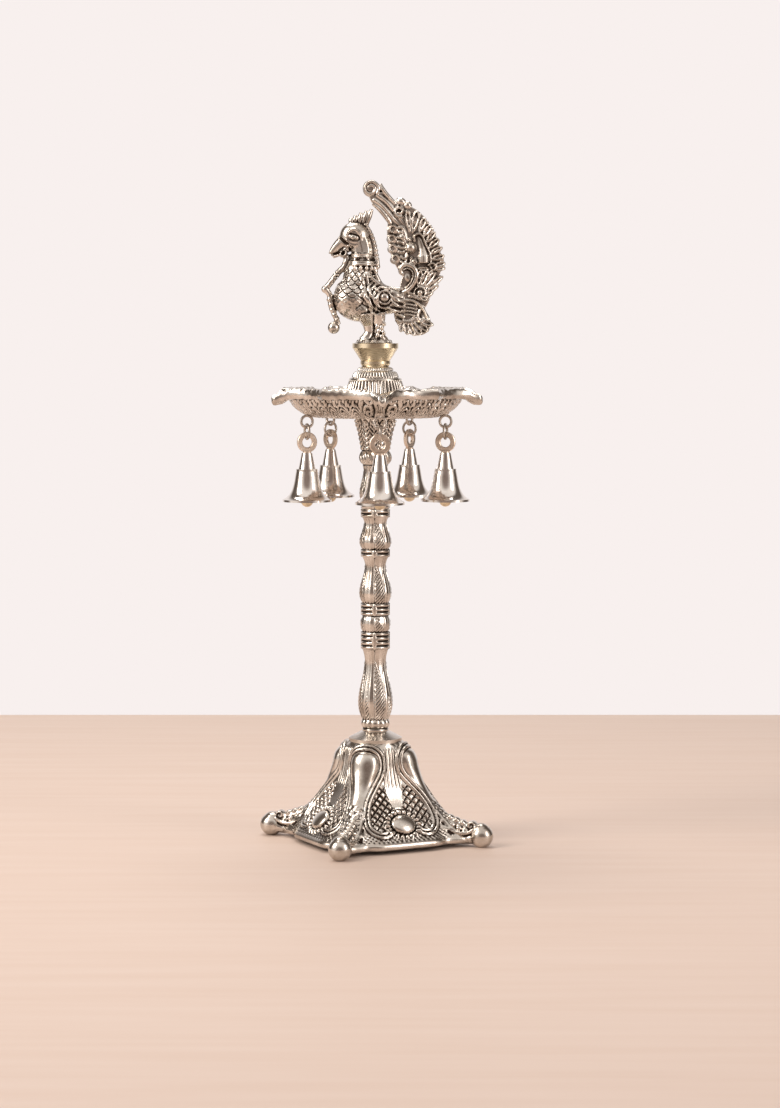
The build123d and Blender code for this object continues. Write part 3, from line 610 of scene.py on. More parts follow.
# oil dish: pinched spouts on a leafy bowl
dishLook = {
    "turn": -86.5, "halfColumns": 72, "seat": 226.5, "floor": 229.5, "rimUnder": 236.5,
    "top": 241.5, "bore": 3.25, "footRadius": 32.0, "rimRadius": 45.5, "belly": 1.9, "sag": 0.9,
    "wall": 2.6, "tip": 62.0, "dip": 47.0, "dipTurn": 20.0, "point": 51.5, "noseCentre": 53.6,
    "noseRadius": 4.4, "noseSink": 3.2, "sinkStart": 46.5, "sinkHalf": 6.0, "channel": 4.0,
    "channelHalf": 6.8, "channelRamp": (39.0, 50.0), "lip": 0.8,
    # a scroll beside the spout: angle from the spout in degrees and share of the wall's height
    "scrolls": (((0.0, 0.05), (0.6, 0.5), (0.0, 0.95)), ((3.2, 0.06), (2.2, 0.5), (4.4, 0.95)),
                ((11.6, 0.40), (10.4, 0.70), (7.4, 0.72), (6.0, 0.46), (7.6, 0.22), (9.6, 0.28),
                 (9.4, 0.46), (8.2, 0.48)),
                ((5.6, 0.05), (9.6, 0.05), (13.0, 0.28), (13.6, 0.62), (12.2, 0.95)),
                ((5.2, 0.95), (7.2, 0.84), (9.8, 0.95))),
    # arches of the wall: middle angles, then half width in degrees and height as a share of the wall
    "arches": (17.6, 27.0, 36.0), "archSizes": ((1.9, 0.36), (3.4, 0.56), (4.7, 0.74)), "archLean": 0.8,
    "uneven": 0.28, "floorRings": (28.7, 27.6, 26.0, 23.5, 20.5, 18.0), "hollow": (1.8, 0.35),
    # strokes of the wall: half width and height, over a ground that lies a little deeper
    "ground": -0.3, "scrollStroke": (1.0, 1.1), "archStroke": (0.7, 1.2), "budStroke": (0.9, 1.2),
    "leafStroke": (0.75, 1.1), "leafShifts": (-3.4, 0.4, 4.0), "pushOut": 0.6, "pushDown": 0.8,
    # section of the rim's edge: inset and share of its thickness
    "rimRows": ((0.35, 0.12), (0.05, 0.3), (0.0, 0.5), (0.1, 0.72), (0.5, 0.9), (1.2, 1.0)),
    "unevenFrom": (41.0, 46.0), "unevenDrop": 3.5,
}


def arcReach(turned, one, two, three):
    # distance to a hollow arc through three points given as reach and angle
    spots = [(r * cos(radians(a)), r * sin(radians(a))) for r, a in (one, two, three)]
    (ax, ay), (bx, by), (cx, cy) = spots
    d = 2 * (ax * (by - cy) + bx * (cy - ay) + cx * (ay - by))
    ux = ((ax**2 + ay**2) * (by - cy) + (bx**2 + by**2) * (cy - ay) + (cx**2 + cy**2) * (ay - by)) / d
    uy = ((ax**2 + ay**2) * (cx - bx) + (bx**2 + by**2) * (ax - cx) + (cx**2 + cy**2) * (bx - ax)) / d
    radius = hypot(ax - ux, ay - uy)
    along = ux * np.cos(turned) + uy * np.sin(turned)
    return along - np.sqrt(np.maximum(along**2 - ux**2 - uy**2 + radius**2, 0))


def makeDish():
    look = dishLook
    half = np.radians(np.linspace(0, 36, look["halfColumns"] + 1))
    order = np.concatenate([np.arange(look["halfColumns"] + 1), np.arange(look["halfColumns"] - 1, 0, -1)])
    order = np.tile(order, 5)
    angles = radians(look["turn"]) + np.arange(len(order)) * 2 * pi / len(order)
    flat = directions(angles)
    edge = arcReach(half, (look["tip"], 0), (look["dip"], look["dipTurn"]), (look["point"], 36))
    # round nose on the end of every spout
    centre, nose = look["noseCentre"], look["noseRadius"]
    inNose = np.maximum(nose**2 - (centre * np.sin(half)) ** 2, 0)
    edge = np.where(inNose > 0, np.minimum(edge, centre * np.cos(half) + np.sqrt(inNose)), edge)
    rows = []

    def addRow(reach, height):
        reach, height = [np.broadcast_to(value, half.shape)[order] for value in (reach, height)]
        rows.append(ringRow(flat, reach, height))

    def sink(reach):
        # the rim hangs down a little at the nose of a spout
        side = reach * np.sin(half)
        ramp = smoothStep(look["sinkStart"], look["noseCentre"], reach)
        return look["noseSink"] * ramp * np.maximum(1 - side / look["sinkHalf"], 0)

    def groove(reach):
        # the wick channel along a spout
        side = reach * np.sin(half)
        ramp = smoothStep(*look["channelRamp"], reach)
        return look["channel"] * np.maximum(1 - side / look["channelHalf"], 0) * ramp

    addRow(look["bore"], look["seat"])
    addRow(12.0, look["seat"])
    addRow(look["footRadius"] - 1.2, look["seat"])
    # outer wall with its leaf work
    shares = np.linspace(0, 1, 40)
    grid = np.meshgrid(half, shares)

    def wallSpot(turned, share):
        bulge = np.sin(pi * share)
        far = look["footRadius"] + (look["rimRadius"] - look["footRadius"]) * share + look["belly"] * bulge
        tall = look["seat"] + (look["rimUnder"] - look["seat"]) * share - look["sag"] * bulge
        return np.stack([far * np.cos(turned), far * np.sin(turned), tall], axis=-1)

    spots = wallSpot(grid[0], grid[1])
    reach, height = np.hypot(spots[..., 0], spots[..., 1]), spots[..., 2]
    relief = np.full_like(reach, look["ground"])

    def stroke(points, thick, tall):
        line = throughPoints(points, 8)
        away = nearest(spots, wallSpot(np.radians(line[:, 0]), line[:, 1]))
        np.maximum(relief, tall * roundTop(away, thick) + look["ground"], out=relief)

    for points in look["scrolls"]:
        stroke(points, *look["scrollStroke"])
    # nested arches along the wall, each with a bud inside and three small leaves above
    for centre in look["arches"]:
        for wide, tall in look["archSizes"]:
            bow = [(centre + wide * cos(t) + look["archLean"] * sin(t), 0.05 + tall * sin(t))
                   for t in np.linspace(0, pi, 7)]
            stroke(bow, *look["archStroke"])
        stroke(((centre, 0.04), (centre + 0.5 * look["archLean"], 0.22)), *look["budStroke"])
        for off in look["leafShifts"]:
            stroke(((centre + off, 0.72), (centre + 1.2 * off + 0.6, 0.84), (centre + 1.3 * off, 0.97)),
                   *look["leafStroke"])
    relief = relief * smoothStep(0.0, 0.05, grid[1]) * smoothStep(1.0, 0.96, grid[1])
    for k in range(len(shares)):
        addRow(reach[k] + look["pushOut"] * relief[k], height[k] - look["pushDown"] * relief[k])
    # under the rim, round its edge and back over its top
    for share in np.linspace(0.12, 1, 9):
        far = look["rimRadius"] + (edge - 0.9 - look["rimRadius"]) * share
        addRow(far, look["rimUnder"] - 0.2 - sink(far))
    thick = look["top"] - look["rimUnder"]
    for inset, share in look["rimRows"]:
        far = edge - inset
        addRow(far, look["rimUnder"] + thick * share - sink(far) * (1 - 0.75 * share) - groove(far) * share)
    innerEdge = look["rimRadius"] - look["wall"] + 0 * half
    for share in np.linspace(0.1, 1, 14):
        far = edge - 1.2 + (innerEdge - edge + 1.2) * share
        addRow(far, look["top"] - 0.25 * sink(far) - groove(far) - look["lip"] * smoothStep(0.45, 1, share))
    innerFoot = look["footRadius"] - look["wall"]
    for share in np.linspace(0.1, 1, 14):
        far = innerEdge + (innerFoot - innerEdge) * share
        side = far * np.sin(half)
        petal = 0.7 * roundTop(np.abs(side - 7.0 * (1 - share) - 1.5), 1.0) * smoothStep(0.02, 0.2, share)
        slope = look["top"] - look["lip"] + (look["floor"] - look["top"] + look["lip"]) * share
        addRow(far, slope - groove(far) * (1 - share) + petal * 0.6)
    for far in look["floorRings"]:
        addRow(far, look["floor"])
    addRow(look["bore"], look["floor"])
    rows.append(rows[0])
    rows = np.array(rows)
    # the cast rim is a little uneven
    x, y = rows[..., 0], rows[..., 1]
    wave = np.sin(0.95 * x + 0.6 * y) * np.sin(0.8 * y - 0.5 * x + 1.0) + 0.5 * np.sin(1.6 * x - 1.3 * y)
    onRim = smoothStep(*look["unevenFrom"], np.hypot(x, y))
    onRim = onRim * (rows[..., 2] > look["rimUnder"] - look["unevenDrop"])
    rows[..., 2] += look["uneven"] * wave * onRim
    piece = wrapGrid("oilDish", rows)
    markHollows(piece, *look["hollow"])
    handOver(piece, castSilver, "cast_silver", "dish")


makeDish()

# small bosses under the dish that hold the eyelets
bossLook = {"reach": 38.0, "radius": 2.0, "low": 228.0, "high": 232.5, "bevel": 0.5,
            "turns": {"Front": -86.5, "Right": -14.5, "BackRight": 61.0, "BackLeft": 129.5, "Left": 199.5}}


def makeBosses():
    look = bossLook
    deselectAll()
    tall = look["high"] - look["low"]
    bpy.ops.mesh.primitive_cone_add(vertices=32, radius1=look["radius"] * mm,
                                    radius2=(look["radius"] + 0.6) * mm, depth=tall * mm,
                                    location=(0, 0, (look["low"] + tall / 2) * mm))
    mould = bpy.context.object
    bpy.ops.object.transform_apply(location=True, rotation=True, scale=True)
    soften = mould.modifiers.new("edge", "BEVEL")
    soften.width = look["bevel"] * mm
    soften.segments = 3
    bpy.ops.object.modifier_apply(modifier="edge")
    bpy.ops.object.shade_smooth()
    for place, turn in look["turns"].items():
        away = look["reach"] * mm * Vector((cos(radians(turn)), sin(radians(turn)), 0))
        boss = copyOf(mould, "hangBoss" + place, Matrix.Translation(away))
        handOver(boss, castSilver, "cast_silver", "dish")
    bpy.data.objects.remove(mould)


makeBosses()


# ribbed cone on the dish's floor
coneLook = {
    "around": 264, "bore": 3.25, "seat": 229.5, "ribs": 44, "hollow": (1.2, 0.24),
    # height above the floor, radius and depth of the ribs
    "tiers": ((0.0, 20.0, 0.0), (0.8, 20.2, 0.2), (3.0, 18.6, 0.6), (6.5, 16.8, 0.7), (10.0, 15.5, 0.7),
              (13.5, 14.4, 0.6), (15.6, 13.9, 0.3), (16.4, 14.0, 0.0), (17.2, 13.7, 0.0), (17.5, 12.2, 0.1),
              (18.2, 12.0, 0.6), (19.6, 11.3, 0.7), (20.4, 10.9, 0.5), (20.8, 10.4, 0.0),
              (21.2, 9.4, 0.0), (21.9, 9.2, 0.5), (22.7, 8.6, 0.4), (23.3, 7.4, 0.0)),
}


def makeCone():
    look = coneLook
    angles = np.linspace(0, 2 * pi, look["around"], endpoint=False)
    flat = directions(angles)
    rib = np.abs(np.sin(look["ribs"] / 2 * angles)) ** 0.7 - 0.6
    rows = []
    tiers = np.array(look["tiers"])
    for spot in np.linspace(0, len(tiers) - 1, 4 * len(tiers) - 3):
        height, radius, deep = [np.interp(spot, np.arange(len(tiers)), tiers[:, c]) for c in range(3)]
        rows.append(ringRow(flat, radius + deep * rib * 1.2, look["seat"] + height))
    for height in (tiers[-1, 0], 0.0):
        rows.append(ringRow(flat, look["bore"], look["seat"] + height))
    rows.append(rows[0])
    piece = wrapGrid("ribbedCone", np.array(rows))
    markHollows(piece, *look["hollow"])
    handOver(piece, castSilver, "cast_silver", "ribbed_cone")


makeCone()

# cast figures: blobs, ropes and plates are joined and fused into one skin

def addBlob(place, half, turn=0.0, segments=20):
    # an egg at a place in mm, turned in the plane of the bird
    bpy.ops.mesh.primitive_uv_sphere_add(
        segments=segments, ring_count=segments // 2, radius=1.0, location=[c * mm for c in place],
        scale=[h * mm for h in half], rotation=(0, -radians(turn), 0))
    return bpy.context.object


def addRope(points, radii, deep=1.0, steps=8):
    # a tapering rope through points in mm; deep stretches it across the plane of the bird
    line = throughPoints(points, steps)
    width = np.interp(np.linspace(0, 1, len(line)), np.linspace(0, 1, len(radii)), radii)
    data = bpy.data.curves.new("rope", "CURVE")
    data.dimensions = "3D"
    data.bevel_depth = 1.0 * mm
    data.bevel_resolution = 3
    data.use_fill_caps = True
    spline = data.splines.new("POLY")
    spline.points.add(len(line) - 1)
    for knot, spot, wide in zip(spline.points, line, width):
        knot.co = (spot[0] * mm, spot[1] * mm / deep, spot[2] * mm, 1)
        knot.radius = wide
    rope = bpy.data.objects.new("rope", data)
    bpy.context.scene.collection.objects.link(rope)
    pick(rope)
    bpy.ops.object.convert(target="MESH")
    rope = bpy.context.object
    rope.data.transform(Matrix.Diagonal((1, deep, 1, 1)))
    return rope


def addPlate(outline, halfDepth):
    # a flat plate in the plane of the bird from an outline of (x, z) points in mm
    deselectAll()
    bpy.ops.mesh.primitive_circle_add(vertices=len(outline), fill_type="NGON")
    plate = bpy.context.object
    for vertex, (x, z) in zip(plate.data.vertices, outline):
        vertex.co = (x * mm, -halfDepth * mm, z * mm)
    bpy.ops.object.mode_set(mode="EDIT")
    bpy.ops.mesh.select_all(action="SELECT")
    bpy.ops.mesh.extrude_region_move(TRANSFORM_OT_translate={"value": (0, 2 * halfDepth * mm, 0)})
    bpy.ops.mesh.select_all(action="SELECT")
    bpy.ops.mesh.normals_make_consistent(inside=False)
    bpy.ops.object.mode_set(mode="OBJECT")
    return plate


def ovalOutline(centre, half, turn, count=40):
    made = []
    for k in range(count):
        u, v = half[0] * cos(2 * pi * k / count), half[1] * sin(2 * pi * k / count)
        made.append((centre[0] + u * cos(radians(turn)) - v * sin(radians(turn)),
                     centre[1] + u * sin(radians(turn)) + v * cos(radians(turn))))
    return made


def fuse(name, parts, voxelMm, soften):
    deselectAll()
    for part in parts:
        part.select_set(True)
    bpy.context.view_layer.objects.active = parts[0]
    bpy.ops.object.transform_apply(location=True, rotation=True, scale=True)
    bpy.ops.object.join()
    piece = bpy.context.object
    piece.name = piece.data.name = name
    remesh = piece.modifiers.new("skin", "REMESH")
    remesh.mode = "VOXEL"
    remesh.voxel_size = voxelMm * mm
    bpy.ops.object.modifier_apply(modifier="skin")
    relax = piece.modifiers.new("relax", "SMOOTH")
    relax.factor = 0.5
    relax.iterations = soften
    bpy.ops.object.modifier_apply(modifier="relax")
    bpy.ops.object.shade_smooth()
    return piece


# feet: a ball under a scrolled toe, one at every corner
footLook = {
    "reach": 59.0, "ball": 6.2, "flat": 2.4, "voxel": 0.4, "soften": 3, "hollow": (1.8, 0.4),
    "names": ("footRight", "footBack", "footLeft", "footFront"),
    # curl on the toe: its middle, the radius from out to in, and the angle it starts and turns by
    "curl": (53.6, 11.3), "curlRadius": (2.6, 0.7), "curlStart": -2.3, "curlTurn": 8.4, "curlSteps": 22,
    "topBeads": ((38.6, 16.3), (42.0, 15.2), (45.4, 14.0), (48.8, 12.8)),
    "sideBeads": ((39.6, 12.8), (43.4, 11.4), (47.2, 9.8), (50.6, 9.0)),
}


def makeFeet():
    look = footLook
    deselectAll()
    high = sqrt(look["ball"] ** 2 - look["flat"] ** 2)
    ball = look["reach"]
    parts = [addBlob((ball, 0, high), (look["ball"],) * 3, segments=32),
             addBlob((ball - 0.6, 0, high + 2.0), (5.2, 5.0, 5.0), segments=24),
             addRope(((40, 0, 5.4), (46, 0, 4.7), (52, 0, 4.4), (57, 0, 5.6)),
                     (4.2, 3.5, 3.2, 4.0), deep=1.2),
             addRope(((35, 0, 15.2), (41, 0, 13.4), (47, 0, 11.6), (52.5, 0, 10.4)),
                     (2.2, 2.3, 2.1, 1.8), deep=1.35),
             addPlate(((37, 4), (37, 14), (53, 11), (55, 5)), 2.2)]
    # the curl on top of the toe, seen as a spiral from both sides
    curlX, curlZ = look["curl"]
    turns = np.linspace(look["curlStart"], look["curlStart"] + look["curlTurn"], look["curlSteps"])
    curl = [(curlX + r * cos(a), 0, curlZ + r * sin(a))
            for r, a in zip(np.linspace(*look["curlRadius"], look["curlSteps"]), turns)]
    parts.append(addRope(curl, (0.85, 0.8, 0.7), deep=3.8, steps=2))
    parts.append(addBlob((curlX, 0, curlZ), (2.0, 2.4, 2.0)))
    for x, z in look["topBeads"]:
        parts.append(addBlob((x, 0, z), (1.9, 3.0, 1.35), -20))
    for side in (-1, 1):
        parts.append(addRope(((38, side * 4.4, 12.4), (42, side * 4.8, 9.4), (47, side * 4.4, 7.6),
                              (52, side * 3.8, 7.6), (55.5, side * 3.4, 9.8)), (0.8, 1.0, 1.0, 0.9, 0.7)))
        for x, z in look["sideBeads"]:
            parts.append(addBlob((x, side * 2.9, z), (1.7, 1.3, 1.2), -20))
    foot = fuse("footMould", parts, look["voxel"], look["soften"])
    cutBelow(foot)
    for k, name in enumerate(look["names"]):
        copy = copyOf(foot, name, Matrix.Rotation(radians(baseLook["turn"] + 90 * k), 4, "Z"))
        markHollows(copy, *look["hollow"])
        handOver(copy, castSilver, "cast_silver", "base")
    bpy.data.objects.remove(foot)


makeFeet()


# tail fan: a plate dressed on both faces with feathers, scrolls and bosses
tailLook = {
    "seat": 265.0, "plate": 1.6, "raised": 2.7, "voxel": 0.34, "soften": 1, "hollow": (1.5, 0.5),
    # places are x and height over the seat; plates have half sizes and a turn, feathers a half width
    "plates": (((20.4, 50.2), (12.8, 22.9), 20), ((19.5, 12.8), (10.5, 7.8), -35),
               ((21.0, 28.0), (8.2, 12.0), 0), ((6.0, 71.5), (4.6, 11.5), 50)),
    "outerFeathers": (((19.6, 58.0), (21.8, 68.2), 2.2), ((23.2, 58.4), (25.8, 65.0), 1.8),
                      ((25.4, 55.8), (28.8, 61.4), 1.7), ((26.6, 52.8), (31.0, 57.8), 1.6),
                      ((27.8, 49.8), (33.0, 54.0), 1.6), ((28.8, 46.8), (34.6, 50.0), 1.5),
                      ((29.6, 43.8), (35.6, 45.8), 1.5), ((30.6, 40.6), (36.2, 41.8), 1.4)),
    "edgeStrokes": (((25.0, 60.6), (27.6, 64.0)), ((27.4, 56.6), (30.6, 60.2)),
                    ((29.4, 52.4), (32.8, 55.2)), ((31.2, 47.8), (34.8, 49.4)),
                    ((32.2, 43.6), (36.0, 43.8))),
    "lobes": ((9.6, 59.4), (9.0, 54.4), (9.4, 49.4), (10.8, 44.0)),
    "secondFan": (((22.4, 29.0), (23.8, 37.4), 1.4), ((23.6, 28.8), (27.2, 37.2), 1.5),
                  ((24.8, 28.2), (30.8, 36.4), 1.5), ((25.6, 27.0), (34.8, 34.6), 1.4),
                  ((25.8, 25.6), (32.6, 30.0), 1.3), ((25.0, 24.2), (29.8, 26.4), 1.2)),
    "narrowFeathers": (((22.6, 39.2), (27.6, 38.8)), ((30.6, 38.6), (36.2, 39.4)),
                       ((27.6, 36.9), (30.0, 36.7))),
    "rumpStrokes": (((9.6, 20.6), (15.6, 20.0)), ((9.8, 18.2), (15.4, 17.0)),
                    ((10.8, 15.6), (15.0, 13.6)), ((10.6, 12.6), (14.0, 10.8))),
    "footTips": ((13.4, 6.6), (16.8, 5.2), (20.4, 4.6), (24.0, 5.2), (27.4, 7.0), (29.8, 9.8)),
}


def spiral(centre, start, end, wide, narrow, count=18):
    return [(centre[0] + r * cos(radians(a)), 0, centre[1] + r * sin(radians(a)))
            for r, a in zip(np.linspace(wide, narrow, count), np.linspace(start, end, count))]


def makeTail():
    look = tailLook
    deselectAll()
    flat = []

    def rope(points, radii, high=look["raised"], steps=6):
        # a raised line with the same face on both sides of the plate
        spots = [(p[0], 0, p[-1]) for p in points]
        flat.append(addRope(spots, radii, deep=high / max(radii), steps=steps))

    def boss(centre, half, high, turn=0.0):
        flat.append(addBlob((centre[0], 0, centre[1]), (half[0], high, half[1]), turn))

    def feather(low, tip, wide, bow=0.0):
        # one rounded feather with a raised border and a sunk middle
        dx, dz = tip[0] - low[0], tip[1] - low[1]
        away = hypot(dx, dz)
        nx, nz = -dz / away, dx / away
        middle = (low[0] + 0.6 * dx + bow * nx, low[1] + 0.6 * dz + bow * nz)
        rope((low, middle, tip), (0.4 * wide, wide, 0.8 * wide), 2.2)
        edge = 0.72 * wide
        border = [(spot[0] + shift * nx, spot[1] + shift * nz) for spot, shift in (
            (middle, edge), (tip, 0.45 * edge), (tip, -0.45 * edge), (middle, -edge))]
        rope((low, *border, low), (0.45, 0.55, 0.6, 0.6, 0.55, 0.45), 2.9)

    for centre, half, turn in look["plates"]:
        flat.append(addPlate(ovalOutline(centre, half, turn), look["plate"]))
    # scroll on the end of the long stalk, and the stalk's lines
    boss((-2.4, 80.8), (4.4, 4.4), 1.8)
    rope(spiral((-2.4, 80.8), -40, 660, 4.3, 0.7), (1.15, 1.1, 0.8), 2.6, steps=3)
    rope(((2.6, 83.4), (3.8, 80.6), (7.0, 76.6), (10.4, 73.2)), (0.9, 1.4, 1.3, 1.0))
    rope(((0.8, 77.6), (5.8, 74.0), (10.6, 68.4), (14.6, 62.8), (18.8, 57.2)), (1.2, 1.5, 1.3, 1.0, 0.7))
    rope(((-1.0, 75.2), (3.6, 71.8), (8.2, 66.6), (12.6, 61.8), (17.8, 56.4)), (1.2, 1.5, 1.3, 1.0, 0.6))
    rope(((-1.4, 73.2), (2.4, 70.0), (6.2, 65.4), (8.6, 61.8)), (1.0, 1.5, 1.5, 1.0))
    boss((13.4, 74.2), (2.8, 2.2), 2.4, -20)
    boss((17.0, 72.2), (2.4, 2.2), 2.4, -40)
    rope(spiral((12.6, 69.0), 300, -150, 2.9, 0.8), (1.0, 1.0, 0.9), 3.0, steps=3)
    feather((18.0, 58.6), (16.8, 68.6), 1.6)
    # feathers to the outer edge
    for low, tip, wide in look["outerFeathers"]:
        feather(low, tip, wide)
    for low, tip in look["edgeStrokes"]:
        rope((low, tip), (0.5, 0.6), 2.9)
    # round lobes down the inner edge, each with a curl and strokes towards the middle
    for k, lobe in enumerate(look["lobes"]):
        boss(lobe, (3.3, 2.7), 2.5, 8 * (k - 1))
        rope(spiral((lobe[0] - 0.5, lobe[1]), 20, 330, 2.3, 0.9), (0.7, 0.7, 0.6), 3.1, steps=3)
        rope(((lobe[0] + 2.4, lobe[1] + 1.2), (lobe[0] + 5.0, lobe[1] + 0.5),
              (17.0, 50.8 + 0.8 * (1.5 - k))),
             (0.9, 1.0, 0.7), 2.7)
        rope(((lobe[0] + 2.6, lobe[1] - 1.2), (lobe[0] + 5.0, lobe[1] - 1.6),
              (16.4, 50.0 + 0.8 * (1.5 - k))),
             (0.7, 0.8, 0.5), 2.6)
    boss((14.3, 55.6), (2.4, 2.0), 2.7)
    boss((18.2, 54.2), (1.1, 1.1), 3.2)
    # the great boss, and the smooth drop beside it
    boss((18.5, 50.0), (3.3, 3.3), 4.2)
    rope(((22.0, 55.6), (23.6, 53.4), (24.6, 49.8), (25.2, 45.6), (25.4, 42.0)),
         (1.5, 2.0, 2.2, 3.4, 3.2), 3.7)
    rope(((20.4, 53.4), (20.6, 56.2), (22.6, 57.4), (24.8, 56.0), (26.4, 52.0), (28.6, 47.2), (29.2, 42.6)),
         (0.6, 0.8, 0.8, 0.8, 0.8, 0.7, 0.6), 3.1)
    boss((20.4, 42.8), (1.9, 1.9), 3.0)
    rope(spiral((20.4, 42.8), 120, 420, 2.2, 0.8), (0.6, 0.6), 3.1, steps=3)
    rope(spiral((30.2, 39.8), 160, -200, 2.4, 0.8), (0.8, 0.7), 3.0, steps=3)
    # big comma below them
    rope(((15.4, 35.6), (13.4, 37.2), (13.6, 39.8), (16.6, 41.2), (20.2, 39.4), (21.6, 35.6),
          (20.0, 31.4), (17.2, 28.0), (13.6, 26.2)), (0.9, 1.3, 1.6, 1.8, 1.9, 1.9, 1.8, 1.6, 1.2), 3.4)
    rope(((14.6, 38.4), (16.8, 39.2), (19.0, 38.0), (19.8, 35.4), (18.4, 31.8), (15.8, 28.8)),
         (0.4, 0.5, 0.5, 0.5, 0.5, 0.4), 3.9)
    boss((17.0, 34.4), (2.2, 3.4), 2.2, 20)
    # second fan, up and out from the rosette
    for low, tip, wide in look["secondFan"]:
        feather(low, tip, wide)
    for low, tip in look["narrowFeathers"]:
        feather(low, tip, 1.1)
    for low, tip in look["rumpStrokes"]:
        rope((low, tip), (1.2, 0.9), 3.0)
    boss((23.4, 26.6), (2.1, 2.1), 3.4)
    rope(spiral((23.4, 26.6), 0, 360, 2.9, 2.9), (0.5, 0.5), 2.9, steps=2)
    feather((17.4, 24.6), (27.4, 22.8), 1.3, 0.4)
    feather((17.0, 26.6), (22.0, 23.8), 1.0)
    # lower wing: level bars, a hook and lobes along its foot
    for k in range(4):
        rope(((15.6, 20.6 - 1.8 * k), (18.6, 20.4 - 1.8 * k), (21.8 - 0.3 * k, 19.6 - 1.8 * k)),
             (0.6, 0.7, 0.6), 3.0)
    rope(((14.2, 22.4), (19.4, 22.4), (23.8, 19.6), (26.4, 15.4), (27.6, 12.0)),
         (0.8, 1.1, 1.2, 1.1, 0.9), 3.1)
    rope(((23.6, 17.6), (22.4, 14.6), (23.6, 11.4), (25.6, 12.2), (25.2, 14.4)),
         (0.8, 1.0, 1.1, 0.9, 0.7), 3.1)
    root = (15.2, 15.2)
    for tip in look["footTips"]:
        middle = (root[0] + 0.6 * (tip[0] - root[0]), root[1] + 0.6 * (tip[1] - root[1]))
        feather((0.5 * (root[0] + middle[0]), 0.5 * (root[1] + middle[1])), tip, 1.6)
    tail = fuse("tailFan", flat, look["voxel"], look["soften"])
    tail.data.transform(Matrix.Translation((0, 0, look["seat"] * mm)))
    markHollows(tail, *look["hollow"])
    handOver(tail, castSilver, "cast_silver", "tail_fan")


makeTail()


# peacock: an egg-built body with a long neck, a crest, a mane, a strand at the beak and folded wings
birdLook = {
    "seat": 265.0, "voxel": 0.36, "soften": 2, "hollow": (1.8, 0.45),
    "scale": (2.1, 3.6, 0.5), "scaleHigh": 0.6, "breastAxis": -6.0, "breastRadius": 9.0,
    "eye": (-11.6, 55.4), "wingBoss": (4.9, 24.0),
    # eggs of the body: centre x, z and half sizes along x, across and up
    "body": (((-12.2, 23.8), (9.8, 9.6, 11.2)), ((-8.5, 17.6), (9.6, 8.4, 6.4)),
             ((-2.0, 23.8), (11.0, 8.8, 9.4)), ((6.2, 22.0), (10.4, 7.0, 7.0)),
             ((-10.8, 56.2), (8.0, 6.0, 7.4)), ((-8.8, 35.0), (7.8, 7.0, 8.0))),
    # fades of the scales, the wing's barbs and the belly's down, along the height and along x
    "breastLevels": ((22.5, 24.5), (39.0, 37.0)), "breastBack": (-4.8, -6.6), "breastFront": (-23.0, -20.6),
    "wingLevels": ((14.0, 16.0), (33.0, 31.0)), "wingFront": (-5.0, -3.4), "barbHigh": 0.55,
    "bellyLevels": ((12.0, 14.0), (24.0, 22.0)), "bellyBack": (-5.0, -7.0), "downHigh": 0.14,
    # x and height over the seat; the rings have height, radius and thickness
    "crest": (((-12.4, 61.8), (-13.0, 65.6)), ((-10.6, 62.4), (-10.4, 67.0)),
              ((-8.6, 62.2), (-7.4, 68.4)), ((-6.8, 61.4), (-4.4, 69.4)), ((-5.4, 60.4), (-1.8, 70.2))),
    "neckRings": ((46.6, 6.0, 0.32), (45.2, 6.05, 0.32), (42.6, 6.6, 0.6), (41.2, 6.9, 0.6)),
    "strandBeads": ((-16.0, 42.6), (-17.6, 38.9), (-20.6, 35.8), (-22.6, 33.2), (-24.6, 30.6),
                    (-24.3, 23.2), (-23.5, 20.6), (-22.8, 17.8), (-21.6, 15.2), (-20.2, 12.6)),
    "wingFeathers": (((-2.8, 35.2), (1.4, 31.4), (7.4, 29.2)), ((1.6, 29.6), (8.4, 28.0), (14.6, 27.4)),
                     ((8.0, 26.6), (11.4, 25.4), (14.8, 25.0)), ((8.8, 24.0), (11.8, 22.8), (15.0, 22.2)),
                     ((8.6, 21.4), (11.6, 20.0), (15.0, 19.2)), ((5.8, 19.2), (10.4, 17.2), (14.8, 16.6)),
                     ((1.8, 26.4), (0.6, 22.8), (2.4, 18.6)), ((-0.8, 31.0), (0.4, 28.2), (2.2, 27.4))),
    "legFeathers": ((0.4, 13.2), (3.2, 12.8), (1.6, 11.0), (4.6, 10.4), (0.8, 8.8), (3.4, 8.2), (1.8, 6.4),
                    (4.4, 5.6), (1.0, 4.2), (3.6, 3.4)),
}


def bodyDepth(x, z):
    # half width of the body across, at a spot seen from the side
    deep = 0.0
    for (cx, cz), (rx, ry, rz) in birdLook["body"]:
        left = 1 - ((x - cx) / rx) ** 2 - ((z - cz) / rz) ** 2
        if left > 0:
            deep = max(deep, ry * sqrt(left))
    return deep


